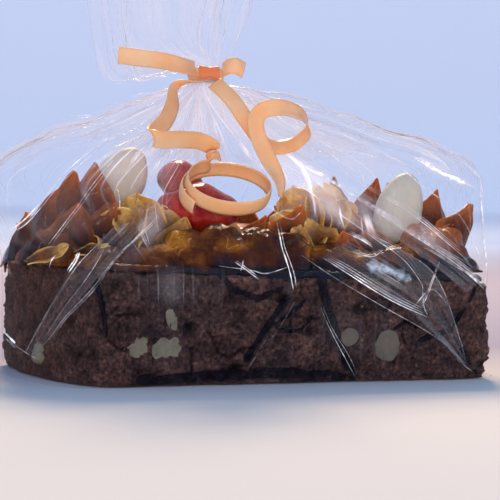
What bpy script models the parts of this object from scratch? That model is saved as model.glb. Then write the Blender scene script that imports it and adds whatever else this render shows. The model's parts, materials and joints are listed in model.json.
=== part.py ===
# A decorated brownie bar in a clear bag that is tied with curling ribbon.
# The slab lies along X and its long cut face looks to -Y. The origin is on the
# table, under the middle of the whole object. Units are metres.

import math

import bmesh
import bpy
from mathutils import Euler, Matrix, Vector, noise

MM = 0.001
GAP = 0.3 * MM  # clear space between pieces that touch

# The slab: a cut bar, a little lower at its right end.
SLAB_LEFT = -64.5 * MM
SLAB_RIGHT = 70 * MM
SLAB_HALF_DEPTH = 31.5 * MM
SLAB_HEIGHT_LEFT = 32 * MM
SLAB_HEIGHT_RIGHT = 28 * MM
SLAB_FOOT_FLARE = 1.5 * MM  # how far the left end spreads at the table
SLAB_CELL = 6 * MM
SLAB_CRAG = 0.7 * MM
SLAB_BOTTOM_INSET = 1.4 * MM
CORNER_FRONT_LEFT = 6 * MM
CORNER_BACK_LEFT = 8 * MM
CORNER_RIGHT = 4 * MM

# The left end slants: it is cut back in a curve, most of all at the front.
END_CUT = 19 * MM
END_CUT_POWER = 2.3
END_CUT_FROM = -28 * MM  # the cut moves nothing to the right of this

# The glaze: a thin layer poured over the slab's top.
GLAZE_THICKNESS = 1.8 * MM
GLAZE_INSET = 1.3 * MM
GLAZE_WAVE = 0.8 * MM
GLAZE_CELL = 5 * MM

# Nut pieces that show in the cut faces: x, z, half width, half height, turn.
FRONT_NUTS = {
    "nut_half_left": (-34.4 * MM, 10.3 * MM, 3.6 * MM, 4.0 * MM, 20),
    "nut_half_right": (-26.4 * MM, 10.4 * MM, 3.9 * MM, 3.5 * MM, -15),
    "nut_chip": (-25.7 * MM, 18.4 * MM, 1.7 * MM, 2.7 * MM, -25),
    "nut_middle": (26.1 * MM, 13.1 * MM, 3.3 * MM, 2.7 * MM, -10),
    "nut_right": (36.7 * MM, 10.9 * MM, 3.4 * MM, 3.5 * MM, 25),
}
END_NUT = (-59.1 * MM, -8 * MM, 7.5 * MM, 3.4 * MM, 2.6 * MM, 20.7)
NUT_HALF_THICKNESS = 3 * MM
NUT_PROUD = 0.4 * MM

# The piped rosettes. Each of the eight petals has its own tip height above the
# table and its own reach, as a share of the radius. Petal 0 points to +X and
# they go round anticlockwise as seen from above.
PETALS = 8
ROSETTE_RADIUS = 20 * MM
ROSETTES = {
    "rosette_left": {
        "centre": (-38.5 * MM, 4.6 * MM),
        "floor": 44 * MM,
        "tips": (50, 53, 55, 54, 49, 54, 59, 47),
        "reach": (0.75, 0.88, 0.95, 1.0, 1.02, 1.0, 0.95, 0.75),
    },
    "rosette_middle": {
        "centre": (-6.5 * MM, -5 * MM),
        "floor": 39 * MM,
        "tips": (47, 50, 52, 48, 42, 43, 42.5, 44),
        "reach": (0.98, 0.95, 1.0, 0.9, 0.8, 0.95, 0.98, 1.0),
    },
    "rosette_right": {
        "centre": (51 * MM, -3 * MM),
        "floor": 37 * MM,
        "tips": (54, 56, 58, 57, 50, 43, 42, 49),
        "reach": (0.95, 0.95, 0.95, 0.85, 0.75, 0.95, 1.05, 1.05),
    },
}

# Blanched almonds and the two cherry pieces: centre, half sizes, lean.
ALMONDS = {
    "almond_left": ((-33.4, 4, 57.0), (7.6, 5.0, 10.6), 32),
    "almond_right": ((52, -3, 49.6), (7.8, 5.2, 11.4), 16),
}
CHERRIES = {
    "cherry_front": ((-13.2, -7.5, 48), (12.0, 9.0, 7.6), 4),
    "cherry_back": ((-15.4, 5.5, 56.6), (6.4, 6.6, 7.0), 12),
}

# Candied fruit: x, y, width, height, lean back in degrees, turn about Z.
SLICES = {
    "candied_slice_left": (-29, -21.5, 13, 13, 24, 14),
    "candied_slice_right": (22.5, -12, 19, 22, 16, -8),
    "candied_peel": (-54.0, -9.5, 13, 4.2, 20, -69.6),
}
SLICE_THICKNESS = 2.6 * MM

# The bag above the slab, in rings from the rim to the neck. Each ring has its
# left, right, front and back reach, its heights at left, right, front and
# back, and how boxy its outline is. The rim follows the slab's top.
BAG_RIM_LIFT = 2.5 * MM
BAG_RINGS = (
    (-67.5, 72.5, -33.5, 34.4, 34, 30, 33, 33, 7.0),
    (-71.5, 73, -30.5, 31.5, 41, 41, 39, 40, 6.0),
    (-73.3, 73, -26.5, 27.5, 52, 52, 45, 46, 5.5),
    (-72, 72, -19.2, 26.5, 59, 61, 52, 52, 4.5),
    (-58, 57, -12.6, 21.0, 68.5, 67, 60.8, 61, 3.4),
    (-38, 32, -5.5, 15.0, 76, 76, 70, 71, 2.6),
    (-21, 8, -1.5, 11.5, 83, 84, 79.5, 80, 2.2),
    (-13, -3, 0.3, 9.7, 85.8, 85.8, 85.4, 85.4, 2.0),
    (-12, -4, 1.0, 9.0, 86.7, 86.7, 86.7, 86.7, 2.0),
    (-12, -4, 1.0, 9.0, 91, 91, 91, 91, 2.0),
)
BAG_END_CUTS = (17, 13, 6, 2, 0, 0, 0, 0, 0, 0)  # how the slant of the end dies out
BAG_SEGMENTS = 64
BAG_PLEATS = 16
BAG_PLEAT_DEPTH = (0, 0, 0, 0, 0.012, 0.03, 0.05, 0.06, 0.05, 0.05)
POCKET_ROOM = 1.0 * MM

# The gathered film above the tie, flaring up and to the left. Like the bag it
# is filled, and its top is dished.
FRILL_RINGS = (
    (-12, -4, 1.0, 9.0, 91.4, 91.4, 91.4, 91.4, 2.0),
    (-26, -1, -1.5, 11.0, 86.5, 94, 94, 94, 2.2),
    (-37, 1.5, -3.5, 13.5, 85, 99, 100, 100, 2.4),
    (-41, 3.5, -5.0, 14.5, 99, 108, 109, 109, 2.4),
    (-43, 6, -6.0, 15.5, 113, 116, 117, 117, 2.4),
    (-45, 9, -7.0, 16.5, 124, 124, 122, 122, 2.4),
)
FRILL_SEGMENTS = 60
FRILL_PLEATS = 12
FRILL_PLEAT_DEPTH = (0.04, 0.08, 0.1, 0.11, 0.12, 0.13)
FRILL_DISH = 4 * MM

# The ribbon: a band round the neck, a knot in front and four loose lengths.
NECK = Vector((-8, 5, 88.8)) * MM
RIBBON_WIDTH = 4.8 * MM
RIBBON_THICKNESS = 0.7 * MM
BAND_RADIUS = 4.8 * MM
BAND_HEIGHT = 3.4 * MM
KNOT_SIZE = Vector((6.4, 2.6, 4.2)) * MM

# Hand-laid routes in millimetres: a point and the way the width points there.
TAIL_ROUTE = (
    ((-12.8, -3.0, 89.6), (0, 0.5, 1)),
    ((-17.0, -8.0, 89.7), (0, 0.3, 1)),
    ((-23.9, -11.0, 90.6), (0, 0, 1)),
    ((-31.1, -13.0, 91.0), (0, 0, 1)),
    ((-37.9, -13.5, 91.5), (0, 0, 1)),
)
STUB_ROUTE = (
    ((-4.6, -3.0, 89.8), (0, 0.5, 1)),
    ((-3.4, -5.2, 90.6), (0, 0.3, 1)),
    ((-1.6, -6.2, 90.6), (0, 0, 1)),
    ((1.0, -5.0, 89.6), (0, 0, 1)),
)
LEFT_CURL_ROUTE = (
    ((-12.4, -5.4, 85.8), (0.2, 1, 0.1)),
    ((-16.8, -7.5, 85.2), (0.3, 1, 0.1)),
    ((-20.8, -10.0, 82.8), (0.7, 0.8, -0.2)),
    ((-22.2, -13.5, 78.2), (0.9, 0.5, -0.3)),
    ((-25.0, -17.5, 73.4), (0.8, 0.2, -0.6)),
    ((-29.7, -22.0, 69.2), (0.5, -0.2, -0.9)),
    ((-28.6, -25.0, 67.6), (0.1, -0.2, -1)),
    ((-22.3, -24.0, 67.8), (0, 0, -1)),
    ((-15.5, -20.5, 67.6), (0, 0.2, -1)),
    ((-11.0, -18.8, 65.2), (0.5, 0.5, -0.8)),
)
RIGHT_CURL_ROUTE = (
    ((-7.6, -4.4, 85.6), (0.8, 0, 0.5)),
    ((-3.6, -8.5, 80.8), (0.85, 0, 0.5)),
    ((0.2, -13.5, 73.6), (0.8, 0, 0.5)),
    ((4.0, -15.5, 68.4), (0.6, 0, 0.8)),
    ((9.6, -14.6, 66.4), (0, 0, 1)),
    ((15.2, -13.6, 68.0), (-0.3, -0.2, 0.9)),
    ((17.9, -15.5, 72.0), (-0.7, -0.5, 0.5)),
    ((14.2, -18.6, 76.6), (0.3, -0.4, 0.9)),
    ((8.0, -20.6, 78.8), (0.1, -0.3, 1)),
    ((2.0, -21.6, 77.4), (-0.7, -0.2, 0.7)),
    ((0.2, -22.0, 73.6), (-1, 0, 0.2)),
    ((1.0, -22.6, 68.6), (-1, 0, -0.1)),
    ((3.6, -24.2, 62.6), (-1, 0, -0.2)),
    ((5.9, -26.4, 57.2), (-0.9, -0.5, 0)),
    ((5.9, -27.6, 52.6), (-0.5, -0.9, 0)),
)
RIBBON_STEPS = 4  # stations between two route points

# The coil at the end of the left length, a helix round a leaning axis.
COIL_CENTRE = Vector((-8.9, -25.1, 55.3)) * MM
COIL_RADIUS = Vector((11.4, 8.4, 0)) * MM
COIL_LEAN = 34  # degrees that its front edge dips
COIL_START = 110  # degrees, where the ribbon comes in at the back
COIL_TURNS = 1.3
COIL_WIDEN = 0.14  # how much wider it ends than it starts
COIL_DROP = 3.6 * MM  # how far one end lies below the other, along the axis
COIL_STATIONS = 30

NUT_COLOUR = (0.62, 0.52, 0.38, 1)
ALMOND_COLOUR = (0.78, 0.74, 0.66, 1)


def material(name, colour, roughness, metallic=0.0):
    """A plain Principled BSDF."""
    made = bpy.data.materials.new(name)
    made.use_nodes = True
    made.diffuse_color = colour
    shader = made.node_tree.nodes["Principled BSDF"]
    shader.inputs["Base Color"].default_value = colour
    shader.inputs["Roughness"].default_value = roughness
    shader.inputs["Metallic"].default_value = metallic
    return made


def add_object(name, mesh_data, collection, surface=None, smooth=False):
    """Turns a bmesh into a named object in a collection."""
    bmesh.ops.recalc_face_normals(mesh_data, faces=mesh_data.faces)
    mesh = bpy.data.meshes.new(name)
    mesh_data.to_mesh(mesh)
    mesh_data.free()
    if smooth:
        mesh.shade_smooth()
    thing = bpy.data.objects.new(name, mesh)
    collection.objects.link(thing)
    if surface:
        mesh.materials.append(surface)
    return thing


def loft(rings, caps=True):
    """Joins rings of points, each with the same count, into one skin."""
    mesh_data = bmesh.new()
    rows = [[mesh_data.verts.new(point) for point in ring] for ring in rings]
    count = len(rings[0])
    for lower, upper in zip(rows, rows[1:]):
        for i in range(count):
            j = (i + 1) % count
            mesh_data.faces.new((lower[i], lower[j], upper[j], upper[i]))
    if caps:
        for row in (rows[0], rows[-1]):
            middle = sum((vert.co for vert in row), Vector()) / count
            hub = mesh_data.verts.new(middle)
            for i in range(count):
                mesh_data.faces.new((row[i], row[(i + 1) % count], hub))
    return mesh_data


def slab_top(x):
    """Height of the slab's top at x."""
    share = (x - SLAB_LEFT) / (SLAB_RIGHT - SLAB_LEFT)
    return SLAB_HEIGHT_LEFT + (SLAB_HEIGHT_RIGHT - SLAB_HEIGHT_LEFT) * share


def round_corner(point, corner_x, corner_y, radius):
    """Pulls a point in the plan's corner square back onto its round corner."""
    centre = Vector((corner_x, corner_y, 0))
    centre.x -= math.copysign(radius, corner_x)
    centre.y -= math.copysign(radius, corner_y)
    away = Vector((point.x - centre.x, point.y - centre.y, 0))
    beyond_x = away.x * corner_x > 0
    beyond_y = away.y * corner_y > 0
    if beyond_x and beyond_y and away.length > radius:
        away.length = radius
        point.x = centre.x + away.x
        point.y = centre.y + away.y


def cut_end(point, left, front, back, cut):
    """Moves a point of the left part of an outline in, most at the front."""
    near = max(0, (back - point.y) / (back - front)) ** END_CUT_POWER
    reach = (END_CUT_FROM - point.x) / (END_CUT_FROM - left)
    point.x += cut * near * max(0, reach)


def round_plan(point, inset):
    """Rounds the corners of the slab's plan, or of a smaller copy, and slants its end."""
    left, right = SLAB_LEFT + inset, SLAB_RIGHT - inset
    depth = SLAB_HALF_DEPTH - inset
    round_corner(point, left, -depth, CORNER_FRONT_LEFT)
    round_corner(point, left, depth, CORNER_BACK_LEFT)
    round_corner(point, right, -depth, CORNER_RIGHT)
    round_corner(point, right, depth, CORNER_RIGHT)
    cut_end(point, left, -depth, depth, END_CUT)


def grid_box(inset, layers):
    """A unit-high box over the plan, divided into cells, and its rim's verts."""
    length = SLAB_RIGHT - SLAB_LEFT - 2 * inset
    depth = 2 * (SLAB_HALF_DEPTH - inset)
    mesh_data = bmesh.new()
    bmesh.ops.create_cube(mesh_data, size=1)
    cuts = {
        0: round(length / SLAB_CELL) - 1,
        1: round(depth / SLAB_CELL) - 1,
        2: layers - 1,
    }
    for axis, count in cuts.items():
        along = [
            edge
            for edge in mesh_data.edges
            if abs((edge.verts[0].co - edge.verts[1].co)[axis]) > 1e-6
        ]
        if count > 0:
            bmesh.ops.subdivide_edges(mesh_data, edges=along, cuts=count, use_grid_fill=True)
    middle = (SLAB_LEFT + SLAB_RIGHT) / 2
    rim = []
    for vert in mesh_data.verts:
        if abs(vert.co.x) > 0.499 or abs(vert.co.y) > 0.499:
            rim.append(vert)
        vert.co = Vector((middle + vert.co.x * length, vert.co.y * depth, vert.co.z + 0.5))
        round_plan(vert.co, inset)
    return mesh_data, rim


def crag(point):
    """How far the crumb stands out at a point of the slab's side."""
    coarse = noise.noise(Vector(point) * 95)
    fine = noise.noise(Vector(point) * 260 + Vector((7, 3, 5)))
    return SLAB_CRAG * (coarse + 0.6 * fine)


def make_slab(collection, surface):
    """The crumb, flat below, with craggy sides and a flared left foot."""
    mesh_data, rim = grid_box(0, 5)
    middle = Vector(((SLAB_LEFT + SLAB_RIGHT) / 2, 0, 0))
    rim_set = set(rim)
    for vert in mesh_data.verts:
        share = vert.co.z
        vert.co.z = share * slab_top(vert.co.x)
        if vert not in rim_set:
            continue
        out = Vector((vert.co.x - middle.x, vert.co.y, 0))
        out.x = math.copysign(max(0, abs(out.x) - 0.047), out.x)
        out.y = math.copysign(max(0, abs(out.y) - 0.018), out.y)
        out.normalize()
        vert.co += out * crag(vert.co)
        if share < 0.01:
            vert.co -= out * SLAB_BOTTOM_INSET
        if out.x < 0:
            vert.co.x += out.x * SLAB_FOOT_FLARE * (1 - share) ** 0.7
    return add_object("slab", mesh_data, collection, surface)


def plan_outline(inset, spacing):
    """Points round the slab's plan, moved inwards, with round corners."""
    left, right = SLAB_LEFT + inset, SLAB_RIGHT - inset
    depth = SLAB_HALF_DEPTH - inset
    corners = ((left, -depth), (right, -depth), (right, depth), (left, depth))
    outline = []
    for i, start in enumerate(corners):
        start = Vector(start)
        side = Vector(corners[(i + 1) % 4]) - start
        count = round(side.length / spacing)
        for step in range(count):
            point = (start + side * step / count).to_3d()
            round_plan(point, inset)
            outline.append(point)
    return outline


def make_glaze(collection, surface):
    """A thin layer on the slab's top with a wandering edge."""
    rings = [[], [], []]
    for point in plan_outline(GLAZE_INSET, GLAZE_CELL):
        out = Vector((point.x, point.y, 0)).normalized()
        wave = GLAZE_WAVE * noise.noise(point * 130)
        foot = point + out * wave
        foot.z = slab_top(foot.x) + GAP
        rings[0].append(foot)
        rings[1].append(foot + Vector((0, 0, 0.6 * GLAZE_THICKNESS)))
        rings[2].append(foot - out * 1.2 * MM + Vector((0, 0, GLAZE_THICKNESS)))
    return add_object("glaze", loft(rings), collection, surface)


def ball(half_sizes, columns, rows, place, turn):
    """An ellipsoid as a bmesh, turned and then placed."""
    mesh_data = bmesh.new()
    bmesh.ops.create_uvsphere(mesh_data, u_segments=columns, v_segments=rows, radius=1)
    frame = Matrix.Translation(place) @ turn.to_matrix().to_4x4()
    mesh_data.transform(frame @ Matrix.Diagonal((*half_sizes, 1)))
    return mesh_data


def trim_outside(mesh_data, point, outward):
    """Cuts off what lies beyond a plane and closes the cut."""
    geometry = mesh_data.verts[:] + mesh_data.edges[:] + mesh_data.faces[:]
    cut = bmesh.ops.bisect_plane(
        mesh_data, geom=geometry, plane_co=point, plane_no=outward, clear_outer=True
    )
    edges = [item for item in cut["geom_cut"] if isinstance(item, bmesh.types.BMEdge)]
    bmesh.ops.contextual_create(mesh_data, geom=edges)


def add_nut(name, centre, half_sizes, turn, outward, slab, sets, surface):
    """A nut piece cut flush with the slab's face, and its pocket in the slab."""
    grown = [size + GAP for size in half_sizes]
    pocket = add_object(name + "_pocket", ball(grown, 14, 8, centre, turn), sets["cutters"])
    cut_from(slab, pocket)
    piece = ball(half_sizes, 14, 8, centre, turn)
    trim_outside(piece, centre + outward * NUT_PROUD, outward)
    add_object(name, piece, sets["parts"], surface)


def make_nuts(slab, sets, surface):
    """The pieces in the long cut face, and the one in the left end."""
    for name, (x, z, wide, high, turn) in FRONT_NUTS.items():
        face = Vector((x, -SLAB_HALF_DEPTH, z))
        face.y -= crag(face)
        half_sizes = (wide, NUT_HALF_THICKNESS, high)
        angle = Euler((0, math.radians(turn), 0))
        add_nut(name, face, half_sizes, angle, Vector((0, -1, 0)), slab, sets, surface)
    x, y, z, wide, high, turn = END_NUT
    half_sizes = (NUT_HALF_THICKNESS, wide, high)
    angle = Euler((0, 0, math.radians(turn)))
    outward = angle.to_matrix() @ Vector((-1, 0, 0))
    add_nut("nut_end", Vector((x, y, z)), half_sizes, angle, outward, slab, sets, surface)


def cut_from(body, cutter):
    """Subtracts a cutter, and keeps it out of the parts."""
    cutter.hide_render = True
    cutter.display_type = "WIRE"
    cut = body.modifiers.new(cutter.name, "BOOLEAN")
    cut.operation = "DIFFERENCE"
    cut.solver = "EXACT"
    cut.object = cutter


def petal_share(angle):
    """The petal at an angle and how near its tip it is, from 0 to 1."""
    position = (angle / (2 * math.pi) * PETALS) % PETALS
    nearest = round(position) % PETALS
    away = abs(position - round(position)) * 2
    return nearest, 1 - away


def rosette_rings(shape, columns):
    """Rings from the foot, up outside the petals and down into the cup."""
    x, y = shape["centre"]
    foot = slab_top(x) + 2 * GAP + GLAZE_THICKNESS + ROSETTE_RADIUS * 0.7 * abs(top_slope())
    floor = shape["floor"]
    rings = [[] for _ in range(8)]
    for i in range(columns):
        angle = 2 * math.pi * i / columns
        nearest, near = petal_share(angle)
        reach = ROSETTE_RADIUS * shape["reach"][nearest] * (0.84 + 0.16 * near)
        notch = floor + 1.5 * MM
        tip = notch + (shape["tips"][nearest] * MM - notch) * near**1.15
        wall = 2.4 * MM
        outline = (
            (0.60 * ROSETTE_RADIUS, foot),
            (0.80 * reach, foot + 0.22 * (floor - foot)),
            (0.97 * reach, foot + 0.75 * (floor - foot)),
            (reach * (1 - 0.06 * near), notch + 0.45 * (tip - notch)),
            (reach * (0.97 - 0.12 * near), tip),
            (reach * (1 - 0.06 * near) - wall, notch + 0.35 * (tip - notch)),
            (0.6 * reach, floor + 0.4 * MM),
            (0.25 * reach, floor),
        )
        for ring, (radius, height) in zip(rings, outline):
            ring.append((x + radius * math.cos(angle), y + radius * math.sin(angle), height))
    return rings


def top_slope():
    """Rise of the slab's top for each unit of x."""
    return (SLAB_HEIGHT_RIGHT - SLAB_HEIGHT_LEFT) / (SLAB_RIGHT - SLAB_LEFT)


def make_rosettes(sets, surface):
    """The piped cups, and a plain hull of each for the bag's pockets."""
    pockets = []
    for name, shape in ROSETTES.items():
        add_object(name, loft(rosette_rings(shape, PETALS * 6)), sets["parts"], surface)
        pockets.append(rosette_pocket(name + "_room", shape, sets["cutters"]))
    return pockets


def rosette_pocket(name, shape, collection):
    """A cup without notches that holds a rosette with room to spare."""
    x, y = shape["centre"]
    below = slab_top(x) - 3 * MM
    rings = [[], [], [], [], []]
    columns = PETALS * 3
    for i in range(columns):
        angle = 2 * math.pi * i / columns
        position = angle / (2 * math.pi) * PETALS
        first = int(position) % PETALS
        second = (first + 1) % PETALS
        share = position - int(position)
        tip = shape["tips"][first] * (1 - share) + shape["tips"][second] * share
        reach = shape["reach"][first] * (1 - share) + shape["reach"][second] * share
        radius = reach * ROSETTE_RADIUS + POCKET_ROOM
        top = tip * MM + POCKET_ROOM
        waist = shape["floor"] - 1 * MM
        outline = (
            (radius, below),
            (radius, waist),
            (radius * 0.99, waist + 0.5 * (top - waist)),
            (radius * 0.88, top),
            (radius * 0.72, top),
        )
        for ring, (out, height) in zip(rings, outline):
            ring.append((x + out * math.cos(angle), y + out * math.sin(angle), height))
    return add_object(name, loft(rings), collection)


def almond_mesh(centre, half_sizes, lean, columns, rows):
    """An egg with a blunt lower end and a narrower top, leaning sideways."""
    mesh_data = ball(half_sizes, columns, rows, Vector(), Euler())
    for vert in mesh_data.verts:
        share = vert.co.z / half_sizes[2]
        vert.co.x *= 1 - 0.14 * share
        vert.co.y *= 1 - 0.14 * share
    turn = Euler((0, math.radians(lean), 0)).to_matrix().to_4x4()
    mesh_data.transform(Matrix.Translation(centre) @ turn)
    return mesh_data


def make_almonds(sets, surface):
    """The two whole almonds, and their room in the bag."""
    pockets = []
    for name, (place, sizes, lean) in ALMONDS.items():
        centre = Vector(place) * MM
        half = [size * MM for size in sizes]
        almond = almond_mesh(centre, half, lean, 16, 11)
        add_object(name, almond, sets["parts"], surface, smooth=True)
        grown = [size + POCKET_ROOM for size in half]
        room = almond_mesh(centre, grown, lean, 12, 8)
        pockets.append(add_object(name + "_room", room, sets["cutters"]))
    return pockets


def make_cherries(sets, surface):
    """The glossy cherry pieces, and their room in the bag."""
    pockets = []
    for name, (place, sizes, lean) in CHERRIES.items():
        centre = Vector(place) * MM
        half = [size * MM for size in sizes]
        turn = Euler((0, math.radians(lean), 0))
        cherry = ball(half, 18, 11, centre, turn)
        add_object(name, cherry, sets["parts"], surface, smooth=True)
        grown = [size + POCKET_ROOM for size in half]
        room = ball(grown, 14, 8, centre, turn)
        pockets.append(add_object(name + "_room", room, sets["cutters"]))
    return pockets


def slice_mesh(shape, grow):
    """A standing piece of fruit with a rounded, wavy top edge."""
    x, y, wide, high, lean, turn = shape
    columns = 16
    half = wide * MM / 2 + grow
    thick = SLICE_THICKNESS / 2 + grow
    rings = []
    for side in (-1, 1):
        ring = []
        for i in range(columns):
            angle = math.pi * i / (columns - 1)
            wave = 1.05 if grow else 1 + 0.05 * math.cos(7 * angle)
            across = -half * math.cos(angle)
            up = (high * MM * wave + 4 * grow) * math.sin(angle) ** 0.6
            bend = 0.08 * half * math.sin(2 * angle)
            ring.append(Vector((across, side * thick + bend, up if 0 < i < columns - 1 else 0)))
        rings.append(ring)
    mesh_data = loft(rings)
    foot = slab_top(x * MM) + GLAZE_THICKNESS + 2 * GAP + 0.8 * MM
    tilt = Euler((math.radians(-lean), 0, math.radians(turn)), "XYZ").to_matrix().to_4x4()
    deeper = Matrix.Translation((0, 0, -3 * grow))
    mesh_data.transform(Matrix.Translation((x * MM, y * MM, foot)) @ tilt @ deeper)
    return mesh_data


def make_slices(sets, surface):
    """The candied fruit between the rosettes, and its room in the bag."""
    pockets = []
    for name, shape in SLICES.items():
        add_object(name, slice_mesh(shape, 0), sets["parts"], surface)
        room = slice_mesh(shape, POCKET_ROOM)
        pockets.append(add_object(name + "_room", room, sets["cutters"]))
    return pockets


def film_ring(row, segments, pleats, pleat_depth):
    """One ring of film: a rounded box with its own height on each side."""
    left, right, front, back, z_left, z_right, z_front, z_back, boxy = row
    centre = Vector(((left + right) / 2, (front + back) / 2))
    half = Vector(((right - left) / 2, (back - front) / 2))
    ring = []
    for i in range(segments):
        angle = 2 * math.pi * i / segments
        along = math.copysign(abs(math.cos(angle)) ** (2 / boxy), math.cos(angle))
        across = math.copysign(abs(math.sin(angle)) ** (2 / boxy), math.sin(angle))
        pleat = 1 + pleat_depth * math.cos(pleats * angle)
        end = z_right if along > 0 else z_left
        side = z_back if across > 0 else z_front
        height = side + (end - side) * abs(along) ** 2.5
        x = centre.x + half.x * along * pleat
        y = centre.y + half.y * across * pleat
        ring.append(Vector((x, y, height)) * MM)
    return ring


def make_bag(collection, surface, pockets):
    """The filled bag over the slab's top, with room for all it covers."""
    rings = [
        film_ring(row, BAG_SEGMENTS, BAG_PLEATS, depth)
        for row, depth in zip(BAG_RINGS, BAG_PLEAT_DEPTH)
    ]
    for ring, row, cut in zip(rings, BAG_RINGS, BAG_END_CUTS):
        for point in ring:
            cut_end(point, row[0] * MM, row[2] * MM, row[3] * MM, cut * MM)
    for point in rings[0]:
        point.z = slab_top(point.x) + BAG_RIM_LIFT
    bag = add_object("bag", loft(rings), collection, surface)
    for pocket in pockets:
        cut_from(bag, pocket)
    return bag


def make_frill(collection, surface):
    """The pleated film above the tie, a funnel with a dished top."""
    rings = [
        film_ring(row, FRILL_SEGMENTS, FRILL_PLEATS, depth)
        for row, depth in zip(FRILL_RINGS, FRILL_PLEAT_DEPTH)
    ]
    middle = sum(rings[-1], Vector()) / FRILL_SEGMENTS
    middle.z -= FRILL_DISH
    rings.append([point.lerp(middle, 0.5) for point in rings[-1]])
    return add_object("bag_frill", loft(rings), collection, surface)


def smooth_route(route):
    """Points and width directions along a Catmull-Rom curve, in metres."""
    points = [Vector(point) for point, _ in route]
    widths = [Vector(width).normalized() for _, width in route]
    stations = []
    last = len(points) - 1
    for i in range(last):
        before = points[max(i - 1, 0)]
        after = points[min(i + 2, last)]
        for step in range(RIBBON_STEPS):
            t = step / RIBBON_STEPS
            stations.append((spline(before, points[i], points[i + 1], after, t),
                             widths[i].lerp(widths[i + 1], t)))
    stations.append((points[last], widths[last]))
    return [(point * MM, width) for point, width in stations]


def spline(before, start, end, after, t):
    """A Catmull-Rom curve between two points."""
    return 0.5 * (
        2 * start
        + (end - before) * t
        + (2 * before - 5 * start + 4 * end - after) * t * t
        + (3 * start - before - 3 * end + after) * t**3
    )


def ribbon_mesh(stations):
    """A flat strip along a route, its width kept square to the way it runs."""
    rings = []
    last = len(stations) - 1
    for i, (point, width) in enumerate(stations):
        run = stations[min(i + 1, last)][0] - stations[max(i - 1, 0)][0]
        run.normalize()
        across = (width - run * width.dot(run)).normalized() * RIBBON_WIDTH / 2
        normal = run.cross(across).normalized() * RIBBON_THICKNESS / 2
        corners = (across + normal, across - normal, -across - normal, normal - across)
        rings.append([point + corner for corner in corners])
    return loft(rings)


def coil_stations():
    """The helix of the coil, from the back round to its cut end."""
    lean = Matrix.Rotation(math.radians(COIL_LEAN), 4, "X")
    axis = lean @ Vector((0, 0, 1))
    stations = []
    for i in range(COIL_STATIONS + 1):
        share = i / COIL_STATIONS
        angle = math.radians(COIL_START) + share * COIL_TURNS * 2 * math.pi
        flat = Vector((COIL_RADIUS.x * math.cos(angle), COIL_RADIUS.y * math.sin(angle), 0))
        widen = 1 + COIL_WIDEN * share
        point = COIL_CENTRE + lean @ (flat * widen) + axis * COIL_DROP * (0.5 - share)
        stations.append((point, axis))
    return stations


def make_ribbon(collection, surface):
    """The band, the knot and the four lengths that come out of it."""
    band = bmesh.new()
    bmesh.ops.create_cone(
        band, segments=32, radius1=BAND_RADIUS, radius2=BAND_RADIUS, depth=BAND_HEIGHT
    )
    band.transform(Matrix.Translation(NECK))
    ring = add_object("ribbon_band", band, collection, surface)
    wrap = ring.modifiers.new("wrap", "SOLIDIFY")
    wrap.thickness = RIBBON_THICKNESS
    wrap.offset = 0

    knot = bmesh.new()
    bmesh.ops.create_cube(knot, size=1)
    front = NECK - Vector((0.6 * MM, BAND_RADIUS + RIBBON_THICKNESS / 2 + GAP, 0))
    front.y -= KNOT_SIZE.y / 2
    knot.transform(Matrix.Translation(front) @ Matrix.Diagonal((*KNOT_SIZE, 1)))
    tied = add_object("ribbon_knot", knot, collection, surface)
    soft = tied.modifiers.new("soft", "BEVEL")
    soft.width = 0.8 * MM
    soft.segments = 2

    left = smooth_route(LEFT_CURL_ROUTE)
    lengths = {
        "ribbon_tail": smooth_route(TAIL_ROUTE),
        "ribbon_stub": smooth_route(STUB_ROUTE),
        "ribbon_curl_left": left + coil_stations(),
        "ribbon_curl_right": smooth_route(RIGHT_CURL_ROUTE),
    }
    for name, stations in lengths.items():
        add_object(name, ribbon_mesh(stations), collection, surface)


def main():
    for thing in list(bpy.data.objects):
        bpy.data.objects.remove(thing)
    sets = {
        "parts": bpy.data.collections.new("wrapped_brownie"),
        "cutters": bpy.data.collections.new("cutters"),
    }
    for collection in sets.values():
        bpy.context.scene.collection.children.link(collection)

    slab = make_slab(sets["parts"], material("brownie", (0.055, 0.032, 0.026, 1), 0.85))
    make_nuts(slab, sets, material("nut", NUT_COLOUR, 0.6))
    make_glaze(sets["parts"], material("glaze", (0.12, 0.045, 0.018, 1), 0.12))
    pockets = make_rosettes(sets, material("caramel", (0.24, 0.09, 0.035, 1), 0.2))
    pockets += make_almonds(sets, material("almond", ALMOND_COLOUR, 0.5))
    pockets += make_cherries(sets, material("cherry", (0.28, 0.012, 0.01, 1), 0.12))
    pockets += make_slices(sets, material("candied_fruit", (0.6, 0.36, 0.06, 1), 0.2))
    film = material("film", (0.8, 0.84, 0.92, 1), 0.08)
    make_bag(sets["parts"], film, pockets)
    make_frill(sets["parts"], film)
    make_ribbon(sets["parts"], material("ribbon", (0.85, 0.4, 0.12, 1), 0.4))


main()
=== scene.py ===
import json
import math
import random

import bmesh
import bpy
from mathutils import Matrix, Vector, noise
from mathutils.bvhtree import BVHTree

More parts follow.
